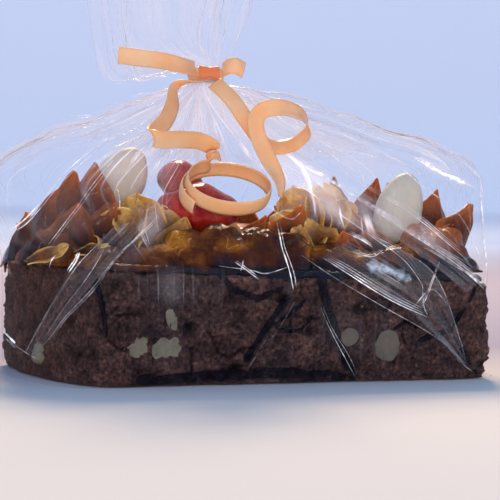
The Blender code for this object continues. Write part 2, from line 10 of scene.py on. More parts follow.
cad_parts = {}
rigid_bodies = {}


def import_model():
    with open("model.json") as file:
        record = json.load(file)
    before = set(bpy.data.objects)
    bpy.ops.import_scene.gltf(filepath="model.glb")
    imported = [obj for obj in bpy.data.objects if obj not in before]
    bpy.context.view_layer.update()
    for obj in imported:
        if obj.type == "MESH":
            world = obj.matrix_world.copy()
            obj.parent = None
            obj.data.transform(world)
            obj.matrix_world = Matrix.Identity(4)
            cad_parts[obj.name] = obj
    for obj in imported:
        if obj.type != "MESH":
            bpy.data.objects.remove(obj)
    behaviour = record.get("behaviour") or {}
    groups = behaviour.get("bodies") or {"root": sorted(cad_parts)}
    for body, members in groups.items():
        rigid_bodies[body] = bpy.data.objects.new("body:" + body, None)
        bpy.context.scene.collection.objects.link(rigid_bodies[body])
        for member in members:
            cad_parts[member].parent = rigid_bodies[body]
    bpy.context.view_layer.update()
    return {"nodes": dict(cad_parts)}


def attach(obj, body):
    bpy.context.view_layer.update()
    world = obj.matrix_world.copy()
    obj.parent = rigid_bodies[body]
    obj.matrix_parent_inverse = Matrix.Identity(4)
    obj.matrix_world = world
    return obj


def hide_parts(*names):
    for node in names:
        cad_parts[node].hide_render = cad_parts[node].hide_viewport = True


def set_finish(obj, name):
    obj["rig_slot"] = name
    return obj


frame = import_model()
mm = 0.001
print("frame loaded")


# Shared helpers

def spot(x, y, z):
    return Vector((x, y, z)) * mm


def smoothStep(low, high, value):
    share = min(1, max(0, (value - low) / (high - low)))
    return share * share * (3 - 2 * share)


def curveThrough(points, t):
    last = len(points) - 1
    place = min(max(t, 0), 1) * last
    i = min(int(place), last - 1)
    s = place - i
    before, start = points[max(i - 1, 0)], points[i]
    end, after = points[i + 1], points[min(i + 2, last)]
    return 0.5 * (
        2 * start
        + (end - before) * s
        + (2 * before - 5 * start + 4 * end - after) * s * s
        + (3 * start - before - 3 * end + after) * s**3
    )


def onBall(centre, sizes, direction):
    return Vector(centre) * mm + Vector(a * b for a, b in zip(direction, sizes)) * mm


def newShape():
    shape = bmesh.new()
    shape.loops.layers.uv.new("UVMap")
    return shape


def addSheet(shape, columns, rows, place):
    # a grid whose points go where place(u, v) says, u and v from 0 to 1
    made = bmesh.ops.create_grid(shape, x_segments=columns, y_segments=rows, size=0.5, calc_uvs=True)
    for vert in made["verts"]:
        vert.co = place(vert.co.x + 0.5, vert.co.y + 0.5)
    bmesh.ops.remove_doubles(shape, verts=made["verts"], dist=2e-6)
    return [vert for vert in made["verts"] if vert.is_valid]


def addValue(shape, name, verts, value):
    layer = shape.verts.layers.float.get(name) or shape.verts.layers.float.new(name)
    for vert in verts:
        vert[layer] = value(vert) if callable(value) else value


def moveAll(shape, rule):
    # each point moves by rule(point), and all the moves are known before the first is made
    moves = [rule(vert) for vert in shape.verts]
    for vert, move in zip(shape.verts, moves):
        vert.co += move


def soften(shape, verts, factor):
    everyWay = {"use_axis_x": True, "use_axis_y": True, "use_axis_z": True}
    bmesh.ops.smooth_vert(shape, verts=verts, factor=factor, **everyWay)


def finishPiece(name, shape, slotName, material, nodes=(), thick=0, rounds=0):
    bmesh.ops.recalc_face_normals(shape, faces=shape.faces)
    mesh = bpy.data.meshes.new(name)
    shape.to_mesh(mesh)
    shape.free()
    mesh.shade_smooth()
    mesh.materials.append(material)
    piece = bpy.data.objects.new(name, mesh)
    bpy.context.scene.collection.objects.link(piece)
    if thick:
        wall = piece.modifiers.new("thickness", "SOLIDIFY")
        wall.thickness = thick * mm
        wall.offset = 0
    if rounds:
        soft = piece.modifiers.new("soft", "SUBSURF")
        soft.levels = rounds
        soft.render_levels = rounds
    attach(piece, "root")
    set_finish(piece, slotName)
    if nodes:
        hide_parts(*nodes)
    return piece


def remeshed(nodes, voxel, extra=None):
    # a merged copy of CAD nodes, and of an extra shape, with even faces
    joined = extra or bmesh.new()
    for name in nodes:
        joined.from_mesh(frame["nodes"][name].data)
    bmesh.ops.remove_doubles(joined, verts=joined.verts, dist=1e-6)
    mesh = bpy.data.meshes.new("copy")
    joined.to_mesh(mesh)
    joined.free()
    helper = bpy.data.objects.new("copy", mesh)
    bpy.context.scene.collection.objects.link(helper)
    even = helper.modifiers.new("even", "REMESH")
    even.mode = "VOXEL"
    even.voxel_size = voxel * mm
    ready = helper.evaluated_get(bpy.context.evaluated_depsgraph_get())
    result = bpy.data.meshes.new_from_object(ready)
    shape = bmesh.new()
    shape.from_mesh(result)
    bpy.data.objects.remove(helper)
    bpy.data.meshes.remove(mesh)
    bpy.data.meshes.remove(result)
    return shape


# Material helpers

def addNode(tree, kind, inputs=None, **settings):
    node = tree.nodes.new(kind)
    for name, value in settings.items():
        setattr(node, name, value)
    for name, value in (inputs or {}).items():
        if isinstance(value, bpy.types.NodeSocket):
            tree.links.new(value, node.inputs[name])
        else:
            node.inputs[name].default_value = value
    return node


def calc(tree, operation, first, second=0.5, third=0.5):
    inputs = {0: first, 1: second, 2: third}
    return addNode(tree, "ShaderNodeMath", inputs, operation=operation).outputs[0]


def times(tree, first, *others):
    for other in others:
        first = calc(tree, "MULTIPLY", first, other)
    return first


def fit(tree, value, low, high, first=0, last=1, kind="LINEAR"):
    # value from low to high becomes first to last, and stays there beyond
    inputs = {0: value, 1: low, 2: high, 3: first, 4: last}
    return addNode(tree, "ShaderNodeMapRange", inputs, interpolation_type=kind).outputs[0]


def axes(tree, coords, kind="Object"):
    return list(addNode(tree, "ShaderNodeSeparateXYZ", {0: coords.outputs[kind]}).outputs)


def marked(tree, name):
    return addNode(tree, "ShaderNodeAttribute", attribute_name=name).outputs["Fac"]


def fromMiddle(tree, u):
    # 0 along the middle of a strip, 1 at its sides
    return calc(tree, "ABSOLUTE", calc(tree, "MULTIPLY_ADD", u, 2, -1))


def veins(tree, pattern, width):
    # thin lines where a pattern crosses its middle value
    return fit(tree, calc(tree, "ABSOLUTE", calc(tree, "SUBTRACT", pattern, 0.5)), width, 0.0)


def noisePattern(tree, vector, scale, detail, **inputs):
    inputs = {"Vector": vector, "Scale": scale, "Detail": detail, **inputs}
    return addNode(tree, "ShaderNodeTexNoise", inputs).outputs[0]


def blendColour(tree, share, first, second, mode="MIX"):
    node = addNode(tree, "ShaderNodeMix", data_type="RGBA", blend_type=mode)
    for place, value in ((0, share), (6, first), (7, second)):
        if isinstance(value, bpy.types.NodeSocket):
            tree.links.new(value, node.inputs[place])
        else:
            node.inputs[place].default_value = value
    return node.outputs[2]


def tinted(tree, colour, blueGleam, mode="MULTIPLY"):
    return blendColour(tree, 1.0, colour, blueGleam, mode)


def ramp(tree, value, stops):
    node = addNode(tree, "ShaderNodeValToRGB", {0: value})
    steps = node.color_ramp.elements
    while len(steps) < len(stops):
        steps.new(0.5)
    for step, (place, colour) in zip(steps, stops):
        step.position = place
        step.color = (*colour, 1)
    return node.outputs[0]


def startMaterial(name, settings):
    material = bpy.data.materials.new(name)
    material.use_nodes = True
    tree = material.node_tree
    shader = tree.nodes["Principled BSDF"]
    for socket, value in settings.items():
        shader.inputs[socket].default_value = value
    coords = addNode(tree, "ShaderNodeTexCoord")
    return material, tree, shader, coords


def addBump(tree, shader, height, strength, distance):
    inputs = {"Strength": strength, "Distance": distance * mm, "Height": height}
    bump = addNode(tree, "ShaderNodeBump", inputs)
    tree.links.new(bump.outputs[0], shader.inputs["Normal"])
    return bump


def makeMottle():
    # coarse and fine unevenness, used by every food
    group = bpy.data.node_groups.new("mottle", "ShaderNodeTree")
    group.interface.new_socket("Vector", in_out="INPUT", socket_type="NodeSocketVector")
    group.interface.new_socket("Scale", in_out="INPUT", socket_type="NodeSocketFloat")
    group.interface.new_socket("Coarse", in_out="OUTPUT", socket_type="NodeSocketFloat")
    group.interface.new_socket("Fine", in_out="OUTPUT", socket_type="NodeSocketFloat")
    start = group.nodes.new("NodeGroupInput")
    end = group.nodes.new("NodeGroupOutput")
    fineScale = calc(group, "MULTIPLY", start.outputs["Scale"], 5.3)
    for name, scale in (("Coarse", start.outputs["Scale"]), ("Fine", fineScale)):
        pattern = noisePattern(group, start.outputs["Vector"], scale, 4, Roughness=0.6)
        group.links.new(fit(group, pattern, 0.3, 0.7), end.inputs[name])
    return group


mottleGroup = makeMottle()


def mottle(tree, coords, scale):
    node = addNode(tree, "ShaderNodeGroup", node_tree=mottleGroup)
    tree.links.new(coords.outputs["Object"], node.inputs["Vector"])
    node.inputs["Scale"].default_value = scale
    return node.outputs["Coarse"], node.outputs["Fine"]


# Stage, light and camera

stageLook = {
    "floorRadius": 1.5,
    "bend": 0.5,
    "wallHeight": 0.6,
    "floorNear": (0.86, 0.79, 0.73),
    # painted shade: the floor is darker behind the bar and further off, and the front of the bowl is darker
    # and bluer
    "floorShadeBehind": (0.42, 0.37, 0.44),
    "floorShadeFar": (0.34, 0.33, 0.42),
    "frontShade": (0.15, 0.27, 0.60),
    # painted light: the backdrop glows at the foot of the wall and over the wall
    "horizonGlow": (0.52, 0.52, 0.56),
    "wall": (0.80, 0.80, 0.82),
    "wallGlow": (0.250, 0.257, 0.325),
    "worldColour": (0.25, 0.54, 1.0),
    "worldStrength": 0.52,
}


def makeStage():
    look = stageLook
    flat, bend = look["floorRadius"], look["bend"]
    bendEnd = flat + bend * math.pi / 2
    shape = newShape()

    def bowl(u, v):
        turn = 2 * math.pi * u
        path = v * (flat + bend * 1.57 + look["wallHeight"])
        angle = min(max(path - flat, 0) / bend, math.pi / 2)
        radius = min(path, flat) + bend * math.sin(angle)
        height = bend * (1 - math.cos(angle)) + max(path - bendEnd, 0)
        return Vector((radius * math.cos(turn), radius * math.sin(turn), height))

    addSheet(shape, 96, 60, bowl)
    bmesh.ops.recalc_face_normals(shape, faces=shape.faces)
    bmesh.ops.reverse_faces(shape, faces=shape.faces)
    mesh = bpy.data.meshes.new("backdrop")
    shape.to_mesh(mesh)
    shape.free()
    mesh.shade_smooth()
    backdrop = bpy.data.objects.new("backdrop", mesh)
    bpy.context.scene.collection.objects.link(backdrop)
    finish = {"Roughness": 0.9, "Specular IOR Level": 0.1, "Emission Strength": 1}
    material, tree, shader, coords = startMaterial("backdropPaper", finish)
    y, z = axes(tree, coords)[1:]
    wallShare = fit(tree, z, 0.0, 0.045)
    front = fit(tree, y, -0.25, -0.75)
    shade = (*look["frontShade"], 1)
    # painted shade: a darker floor behind the bar and further off, and a darker, bluer front of the bowl
    colour = blendColour(tree, fit(tree, y, -0.05, 0.05), (*look["floorNear"], 1), (*look["floorShadeBehind"], 1))
    colour = blendColour(tree, fit(tree, y, 0.2, 0.9), colour, (*look["floorShadeFar"], 1))
    colour = blendColour(tree, wallShare, colour, (*look["wall"], 1))
    colour = blendColour(tree, front, colour, tinted(tree, colour, shade))
    tree.links.new(colour, shader.inputs["Base Color"])
    # painted light: a glow at the foot of the wall and over the whole wall, darker and bluer on the front
    rise = fit(tree, y, 0.45, 1.2, kind="SMOOTHSTEP")
    fade = fit(tree, z, 0.04, 0.0, kind="SMOOTHSTEP")
    low = blendColour(tree, times(tree, rise, fade), (0, 0, 0, 1), (*look["horizonGlow"], 1))
    glow = blendColour(tree, wallShare, (0, 0, 0, 1), (*look["wallGlow"], 1))
    glow = tinted(tree, glow, low, "ADD")
    glow = blendColour(tree, front, glow, tinted(tree, glow, shade))
    tree.links.new(glow, shader.inputs["Emission Color"])
    mesh.materials.append(material)


def makeWorld():
    world = bpy.data.worlds.new("softRoom")
    bpy.context.scene.world = world
    world.use_nodes = True
    background = world.node_tree.nodes["Background"]
    background.inputs[0].default_value = (*stageLook["worldColour"], 1)
    background.inputs[1].default_value = stageLook["worldStrength"]


lampLook = {
    # place, size, watts, colour
    "topKey": ((0.15, 0.68, 0.78), (0.35, 0.3), 12.8, (1.0, 0.76, 0.49)),
    "frontFill": ((-0.25, -1.1, 0.09), (0.5, 0.08), 5.6, (1.0, 0.87, 0.74)),
    "leftStrip": ((-0.75, -0.3, 0.45), (0.014, 0.4), 0.45, (0.85, 0.93, 1.0)),
    "rightStrip": ((0.7, -0.4, 0.5), (0.014, 0.4), 0.45, (0.85, 0.93, 1.0)),
    "glintHigh": ((0.1, -0.6, 0.9), (0.015, 0.25), 0.45, (0.9, 0.96, 1.0)),
    "glintLow": ((-0.2, -0.85, 0.3), (0.02, 0.1), 0.25, (0.8, 0.92, 1.0)),
}


def makeLamps():
    target = spot(5, 0, 35)
    for name, (place, size, watts, colour) in lampLook.items():
        data = bpy.data.lights.new(name, "AREA")
        data.shape = "RECTANGLE"
        data.size, data.size_y = size
        data.energy = watts
        data.color = colour
        lamp = bpy.data.objects.new(name, data)
        bpy.context.scene.collection.objects.link(lamp)
        lamp.location = place
        lamp.rotation_euler = (target - lamp.location).to_track_quat("-Z", "Y").to_euler()
        lamp.visible_camera = False
        lamp.visible_glossy = name != "frontFill"


cameraLook = {  # millimetres and degrees
    "target": (5.2, 0, 36.4), "azimuth": -16, "height": 2, "distance": 400, "lens": 95.76, "roll": 0.8,
}


def makeCamera():
    look = cameraLook
    turn, rise = math.radians(look["azimuth"]), math.radians(look["height"])
    back = Vector((math.sin(turn) * math.cos(rise), -math.cos(turn) * math.cos(rise), math.sin(rise)))
    data = bpy.data.cameras.new("camera")
    data.lens = look["lens"]
    data.clip_start, data.clip_end = 0.01, 20
    camera = bpy.data.objects.new("camera", data)
    bpy.context.scene.collection.objects.link(camera)
    camera.location = spot(*look["target"]) + back * look["distance"] * mm
    looking = (-back).to_track_quat("-Z", "Y").to_matrix()
    camera.rotation_euler = (looking @ Matrix.Rotation(math.radians(look["roll"]), 3, "Z")).to_euler()
    bpy.context.scene.camera = camera


bpy.context.scene.view_settings.view_transform = "Standard"
makeStage()
makeWorld()
makeLamps()
makeCamera()
print("stage, lamps and camera ready")


# The crumb

crumbLook = {
    "voxel": 0.72, "lift": 0.3, "lump": 0.8, "grain": 0.75, "grit": 0.55, "pit": 1.5, "wetDepth": 0.7,
}
# dark, wet-looking lines where the film clings, partly painted shade: the lines along the top edge and along
# the foot stand in for the shadow in the gap under the film; x and z along the line, half width
clingAndShadeLines = (
    (((17.3, 29), (19.5, 20), (22.8, 11.4), (27.4, 0.9)), 1.7),
    (((7.5, 24), (4.3, 20.5), (-0.2, 13.9), (-4.2, 7.4)), 1.3),
    (((12.6, 23.5), (7.6, 19.5), (3.5, 17.0)), 0.8),
    (((4.4, 16.0), (8.0, 14.6), (11.6, 15.6), (14.4, 18.6)), 0.8),
    (((-13.0, 31.5), (-9.0, 27.0), (-1.5, 24.0), (5.0, 26.5)), 1.1),
    (((40.0, 15.5), (43.0, 17.2), (46.5, 15.8)), 0.8),
    (((47.0, 11.5), (51.5, 13.2), (57.0, 14.6)), 1.1),
    (((58.0, 16.0), (62.5, 23.0), (65.5, 29.0)), 0.7),
    (((-47.0, 31.0), (-44.5, 22.0), (-43.5, 14.0)), 0.8),
    (((60.5, 9.0), (64.0, 3.5), (66.0, 2.0)), 0.8),
    (((-40.0, 34.0), (-33.0, 32.4), (-26.5, 33.2)), 2.0),
    (((-14.0, 33.6), (-4.3, 32.2), (7.5, 33.0)), 1.7),
    (((23.0, 33.5), (31.0, 31.0), (41.0, 27.5)), 2.2),
    (((-34.0, 2.0), (-10.0, 2.6), (4.0, 3.2), (24.0, 1.6)), 1.9),
)


def lineDistance(lines, x, z):
    # how deep a point lies in the nearest line, from 0 to 1
    best = 0
    for line, half in lines:
        for (x1, z1), (x2, z2) in zip(line, line[1:]):
            along = (x2 - x1) ** 2 + (z2 - z1) ** 2
            share = min(1, max(0, ((x - x1) * (x2 - x1) + (z - z1) * (z2 - z1)) / along))
            away = math.hypot(x - x1 - share * (x2 - x1), z - z1 - share * (z2 - z1))
            best = max(best, 1 - away / half)
    return best


def crumbMaterial():
    finish = {"Roughness": 0.8, "Specular IOR Level": 0.3}
    material, tree, shader, coords = startMaterial("brownieCrumb", finish)
    coarse = mottle(tree, coords, 120)[0]
    clot, grit = mottle(tree, coords, 900)
    stain = mottle(tree, coords, 48)[0]
    colour = ramp(tree, coarse, [
        (0.0, (0.080, 0.044, 0.038)), (0.35, (0.128, 0.071, 0.060)), (1.0, (0.190, 0.112, 0.094)),
    ])
    grain = ramp(tree, clot, [
        (0.0, (0.10, 0.09, 0.10)), (0.3, (0.55, 0.52, 0.54)),
        (0.7, (1.2, 1.12, 1.08)), (1.0, (2.4, 2.0, 1.8)),
    ])
    # painted shade in the crumb's pits and cracks, painted light on its raised bits
    hollow = ramp(tree, marked(tree, "relief"), [
        (0.0, (0.16, 0.13, 0.13)), (0.45, (0.8, 0.78, 0.78)),
        (0.75, (1.2, 1.12, 1.05)), (1.0, (1.7, 1.45, 1.25)),
    ])
    colour = tinted(tree, tinted(tree, colour, grain), hollow)
    leftEnd = fit(tree, axes(tree, coords)[0], -0.045, -0.064, 0, 0.45)  # a redder crumb there
    colour = blendColour(tree, leftEnd, colour, (0.11, 0.042, 0.022, 1))
    specks = addNode(tree, "ShaderNodeTexVoronoi", {"Vector": coords.outputs["Object"], "Scale": 300})
    speckRed = addNode(tree, "ShaderNodeSeparateColor", {0: specks.outputs[1]}).outputs[0]
    chosen = calc(tree, "GREATER_THAN", speckRed, 0.8)
    speckShare = times(tree, fit(tree, specks.outputs[0], 0.18, 0.08), chosen)
    colour = blendColour(tree, speckShare, colour, (0.30, 0.16, 0.09, 1))
    colour = blendColour(tree, fit(tree, stain, 0.62, 0.8, 0, 0.4), colour, (0.022, 0.018, 0.026, 1))
    wetAndShade = fit(tree, marked(tree, "wetAndShade"), 0.05, 0.45)
    # partly painted shade: the wet-looking lines darken the crumb to bluish black
    colour = blendColour(tree, times(tree, wetAndShade, 0.88), colour, (0.010, 0.009, 0.017, 1))
    tree.links.new(colour, shader.inputs["Base Color"])
    tree.links.new(fit(tree, wetAndShade, 0, 1, 0.75, 0.2), shader.inputs["Roughness"])
    addBump(tree, shader, calc(tree, "ADD", clot, grit), 1.0, 0.5)
    return material


def nutSpots():
    # middle and half size of each nut piece in the cut faces
    spots = {}
    for name in sorted(frame["nodes"]):
        if name.startswith("nut_"):
            corners = [Vector(corner) for corner in frame["nodes"][name].bound_box]
            low = Vector(min(corner[i] for corner in corners) for i in range(3))
            high = Vector(max(corner[i] for corner in corners) for i in range(3))
            spots[name] = ((low + high) / 2, (high - low) / 2)
    return spots


def lapOver(place, spots):
    # crumb that laps a little over the rim of a nut piece
    for middle, half in spots.values():
        if abs(place.y - middle.y) > half.y + 4 * mm:
            continue
        dx, dz = place.x - middle.x, place.z - middle.z
        away = math.hypot(dx / half.x, dz / half.z)
        if 0.8 < away < 1.5:
            pull = smoothStep(1.5, 1.12, away) * (0.5 + 1.9 * noise.noise(place * 330 + Vector((6, 2, 1))))
            return Vector((-dx, 0, -dz)).normalized() * max(0, pull) * 1.5 * mm
    return Vector((0, 0, 0))


def makeCrumb():
    look = crumbLook
    shape = remeshed(["slab"], look["voxel"])
    shape.normal_update()
    spots = nutSpots()
    moves, shadeDepths, wetAndShadeShares = [], [], []
    for vert in shape.verts:
        place, normal = vert.co, vert.normal
        lump = noise.noise(place * 170)
        grain = noise.noise(place * 430 + Vector((3, 7, 1)))
        grit = abs(noise.noise(place * 900)) * 2 - 0.5
        pitSpot = noise.voronoi(place * 105 + Vector((2, 5, 9)))[0][0]
        hole = smoothStep(0.30, 0.08, pitSpot) * smoothStep(-0.1, 0.15, noise.noise(place * 60))
        crack = smoothStep(0.05, 0.0, abs(noise.noise(place * 95 + Vector((9, 1, 4))) + 0.12))
        crack *= smoothStep(0.05, 0.3, noise.noise(place * 60 + Vector((1, 8, 2))))
        # the wet-looking lines, partly painted shade, also dent the crumb
        wetAndShade = 0
        if place.y < -24 * mm:
            ragged = 0.8 * noise.noise(place * 240) + 0.3 * noise.noise(place * 700) - 0.1
            wetAndShade = max(0, min(1, 1.5 * lineDistance(clingAndShadeLines, place.x / mm, place.z / mm)) * (0.75 + ragged))
        out = look["lump"] * lump + look["grain"] * grain + look["grit"] * grit
        out -= look["pit"] * (hole + 0.8 * crack) + look["wetDepth"] * wetAndShade
        if normal.z > 0.7:
            out *= 0.5
        if place.z < 0.6 * mm:
            out = 0
        moves.append(normal * out * mm + lapOver(place, spots))
        # how deep each point lies, which the crumb material turns into painted shade and painted light
        shadeDepths.append(min(1, max(0, 0.5 + 0.45 * out)))
        wetAndShadeShares.append(min(1, wetAndShade * 1.6))
    relief = shape.verts.layers.float.new("relief")
    wetAndShadeLayer = shape.verts.layers.float.new("wetAndShade")
    for vert, move, depth, wetAndShade in zip(shape.verts, moves, shadeDepths, wetAndShadeShares):
        vert.co += move
        vert.co.z = max(vert.co.z, look["lift"] * mm)
        vert[relief] = depth
        vert[wetAndShadeLayer] = wetAndShade
    return finishPiece("crumb", shape, "brownie", crumbMaterial(), ["slab"])


crumb = makeCrumb()
print("crumb ready")


# Nut pieces in the cut faces

def nutMaterial():
    material, tree, shader, coords = startMaterial("nutFlesh", {"Roughness": 0.6, "Specular IOR Level": 0.2})
    coarse, fine = mottle(tree, coords, 200)
    colour = ramp(tree, coarse, [
        (0.0, (0.125, 0.108, 0.076)), (0.4, (0.165, 0.150, 0.108)), (1.0, (0.215, 0.198, 0.145)),
    ])
    skin = ramp(tree, fine, [(0.0, (0.78, 0.72, 0.66)), (0.35, (1, 1, 1)), (1.0, (1.06, 1.06, 1.05))])
    colour = tinted(tree, colour, skin)
    right = fit(tree, axes(tree, coords)[0], 0.0, 0.02, 0, 0.55)  # painted shade: deeper, so darker, on the right
    tree.links.new(blendColour(tree, right, colour, (0.075, 0.062, 0.052, 1)), shader.inputs["Base Color"])
    addBump(tree, shader, fine, 0.25, 0.2)
    return material


def nutWave(vert):
    wave = 0.5 + 1.9 * noise.noise(vert.co * 120 + Vector((5, 3, 9))) + 0.4 * noise.noise(vert.co * 900)
    return Vector((vert.normal.x, vert.normal.y * 0.2, vert.normal.z)) * wave * mm


nutLook = {
    "voxel": 0.35, "sunk": 0.1, "relief": 0.25, "outerPart": 1.6,
    "widths": {"nut_chip": 0.7, "nut_half_left": 1.14, "nut_half_right": 1.1},
}


def makeNuts():
    # each piece is cut flush with the crumb round it
    look = nutLook
    sunk, relief, outerPart = look["sunk"] * mm, look["relief"] * mm, look["outerPart"] * mm
    material = nutMaterial()
    face = BVHTree.FromObject(crumb, bpy.context.evaluated_depsgraph_get())
    for name, (middle, half) in nutSpots().items():
        shape = remeshed([name], look["voxel"])
        shape.normal_update()
        moveAll(shape, nutWave)
        for vert in shape.verts:
            vert.co.x = middle.x + (vert.co.x - middle.x) * look["widths"].get(name, 1)
        outside = -1 if middle.y < 0 else 1
        level = []
        for side in (-1.5, 1.5):
            for across, up in ((side, 0), (0, side)):
                start = Vector((middle.x + across * half.x, 0.1 * outside, middle.z + up * half.z))
                hit = face.ray_cast(start, Vector((0, -outside, 0)))[0]
                if hit is not None:
                    level.append(hit.y * outside)
        if level and abs(middle.y) > 0.02:
            top = max(vert.co.y * outside for vert in shape.verts)
            flush = sum(level) / len(level) - sunk
            for vert in shape.verts:
                far = vert.co.y * outside - (top - outerPart)
                if far > 0:
                    vert.co.y = outside * (flush - relief + far / outerPart * relief)
        finishPiece(name.replace("nut_", "nutPiece_"), shape, "nut", material, [name])


makeNuts()
print("nuts ready")


# The glaze

glazeLook = {"voxel": 0.65, "drip": 3.6, "wave": 0.8}
# pools of syrup round the toppings: centre and half sizes
syrupPools = (
    ((-52, -10, 34), (8, 9, 3.6)), ((-42, -18, 34), (10, 8, 4.2)), ((-29, -20, 33.5), (8, 8, 5.5)),
    ((-19, -19, 34.5), (8, 8, 8.5)), ((-9, -19, 35), (9, 8, 9.5)), ((2, -20, 35), (9, 8, 9)),
    ((-3, -22, 34), (12, 6.5, 6.5)), ((11, -20, 33.5), (8, 8, 9)), ((23, -19, 32), (9, 8, 7)),
    ((34, -19, 31.5), (9, 8, 6)), ((46, -19, 31), (10, 8, 7.5)), ((61, -17, 30.5), (8, 9, 7)),
    ((64, 2, 30.5), (5, 16, 6)), ((-57, 8, 34), (5, 15, 3.5)), ((-40, 20, 34), (16, 8, 4)),
    ((-8, 19, 33), (17, 9, 5)), ((25, 17, 32), (18, 11, 5)), ((53, 19, 31), (14, 9, 5)),
    ((20, 0, 32), (18, 16, 4.5)),
)
# where the syrup shines gold: middle x and z, half width and half height
goldSpots = (
    (-24, 40, 7, 5), (-8, 38.5, 6, 3), (-31, 41, 6, 3), (17, 38, 6, 4), (30, 37, 5, 3), (52, 37, 9, 3),
)
darkHollow = (6, 36, 9, 7)


def slabTop(x):
    return 34.5 - 0.0317 * (x + 64.5)


def glazeMaterial():
    material, tree, shader, coords = startMaterial("syrupGlaze", {
        "Roughness": 0.16, "Specular IOR Level": 0.16,
        "Subsurface Weight": 0.25, "Subsurface Radius": (1, 0.4, 0.1), "Subsurface Scale": 0.003,
    })
    x, z = axes(tree, coords)[::2]
    coarse = mottle(tree, coords, 85)[0]
    warm, small = mottle(tree, coords, 210)
    gold = marked(tree, "gold")
    blend = calc(tree, "MULTIPLY_ADD", coarse, 0.4, times(tree, warm, 0.3))
    blend = calc(tree, "MULTIPLY_ADD", gold, 0.34, blend)
    colour = ramp(tree, blend, [
        (0.0, (0.018, 0.005, 0.002)), (0.4, (0.075, 0.017, 0.003)), (0.62, (0.17, 0.052, 0.005)),
        (0.82, (0.38, 0.15, 0.012)), (1.0, (0.75, 0.38, 0.06)),
    ])
    # painted highlight: thin pale orange streaks over the gold syrup
    swirl = noisePattern(tree, coords.outputs["Object"], 150, 2, Distortion=0.8)
    paintedShine = times(tree, veins(tree, swirl, 0.03), gold, small)
    colour = blendColour(tree, paintedShine, colour, (0.70, 0.33, 0.09, 1))
    slope = calc(tree, "MULTIPLY_ADD", x, 0.0317, 0.0345)  # painted shade: the pool near the slab's edge is nearly black, for the shadowed gap under the film
    depth = calc(tree, "SUBTRACT", slope, calc(tree, "MULTIPLY_ADD", coarse, 0.005, z))
    colour = blendColour(tree, fit(tree, depth, -0.0035, 0.0), colour, (0.010, 0.010, 0.016, 1))
    tree.links.new(colour, shader.inputs["Base Color"])
    addBump(tree, shader, calc(tree, "ADD", coarse, warm), 0.6, 0.8)
    return material


def makeGlaze():
    look = glazeLook
    pool = newShape()
    for centre, sizes in syrupPools:
        made = bmesh.ops.create_uvsphere(pool, u_segments=24, v_segments=14, radius=1)
        for vert in made["verts"]:
            vert.co = onBall(centre, sizes, vert.co)
            vert.co.z = max(vert.co.z, slabTop(vert.co.x / mm) * mm - 0.0022)
    shape = remeshed(["glaze"], look["voxel"], pool)
    shape.normal_update()

    def drip(vert):
        place = vert.co
        edge = smoothStep(26, 30, abs(place.y) / mm)
        run = 0.5 + 0.5 * noise.noise(Vector((place.x * 70, math.copysign(3, place.y), 1)))
        run += 0.2 * noise.noise(Vector((place.x * 260, math.copysign(3, place.y), 4)))
        run = smoothStep(0.3, 0.85, run) * edge
        fall = -run * look["drip"] * mm * smoothStep(29, 31, abs(place.y) / mm)
        move = Vector((0, math.copysign(run * 1.6 * mm, place.y), fall))
        wave = noise.noise(place * 130) + 0.6 * (1 - 3 * abs(noise.noise(place * 210)))
        return move + vert.normal * look["wave"] * mm * wave * (1 - edge) * (vert.normal.z > -0.2)

    def gold(vert):
        x, y, z = vert.co / mm

        def near(middleX, middleZ, halfX, halfZ):
            return smoothStep(1.1, 0.4, math.hypot((x - middleX) / halfX, (z - middleZ) / halfZ))

        return (max(0.1, *(near(*place) for place in goldSpots)) - 0.5 * near(*darkHollow)) * (y < 0)

    moveAll(shape, drip)
    addValue(shape, "gold", shape.verts, gold)
    finishPiece("syrupLayer", shape, "glaze", glazeMaterial(), ["glaze"])


makeGlaze()
print("glaze ready")


# Glossy petals round the nuts

def petalMaterial(name, footShade, body, pale, edge, settings, thinness=0):
    material, tree, shader, coords = startMaterial(name, settings)
    u, v = axes(tree, coords, "UV")[:2]
    side = fromMiddle(tree, u)
    rim = calc(tree, "MAXIMUM", calc(tree, "POWER", side, 5), calc(tree, "POWER", v, 4))
    coarse, fine = mottle(tree, coords, 170)
    patchy = mottle(tree, coords, 75)[0]
    share = calc(tree, "MULTIPLY_ADD", v, 0.8, times(tree, coarse, 0.3))
    share = calc(tree, "MULTIPLY_ADD", patchy, 0.35, times(tree, share, 0.75))
    # painted shade low on each petal and on the mound, paler towards the tip and the top
    inner = ramp(tree, share, [(0.38, footShade), (0.72, body), (1.0, pale)])
    # the bright rim is partly the thin caramel's own paler colour and partly painted light shining through it
    rimShare = times(tree, rim, calc(tree, "MULTIPLY_ADD", fine, 0.5, 0.5))
    tree.links.new(blendColour(tree, rimShare, inner, (*edge, 1)), shader.inputs["Base Color"])
    if thinness:  # glassy inside, denser at the rim
        dense = calc(tree, "MULTIPLY_ADD", patchy, 0.4, rimShare)
        tree.links.new(fit(tree, dense, 0.1, 0.6, 1 - thinness, 1), shader.inputs["Alpha"])
    addBump(tree, shader, calc(tree, "MULTIPLY_ADD", fine, 0.35, coarse), 0.8, 0.9)
    return material


petalFinish = {
    "Roughness": 0.24, "Specular IOR Level": 0.10, "Coat Weight": 0.3, "Coat Roughness": 0.03,
    "Subsurface Weight": 0.12, "Subsurface Radius": (1, 0.25, 0.06), "Subsurface Scale": 0.0015,
}
# painted shade deep inside at the foot, body, pale towards the tip, edge; the pale tip and the bright edge
# are partly the thin caramel's own paler colour and partly painted light shining through it
caramelColours = (0.007, 0.0015, 0.0008), (0.042, 0.0095, 0.0025), (0.19, 0.052, 0.010), (0.78, 0.19, 0.026)
goldColours = (0.03, 0.010, 0.003), (0.15, 0.055, 0.012), (0.36, 0.16, 0.04), (0.8, 0.42, 0.10)
caramelPetal = petalMaterial("caramelPetal", *caramelColours, petalFinish)
goldPetal = petalMaterial("goldPetal", *goldColours, petalFinish)


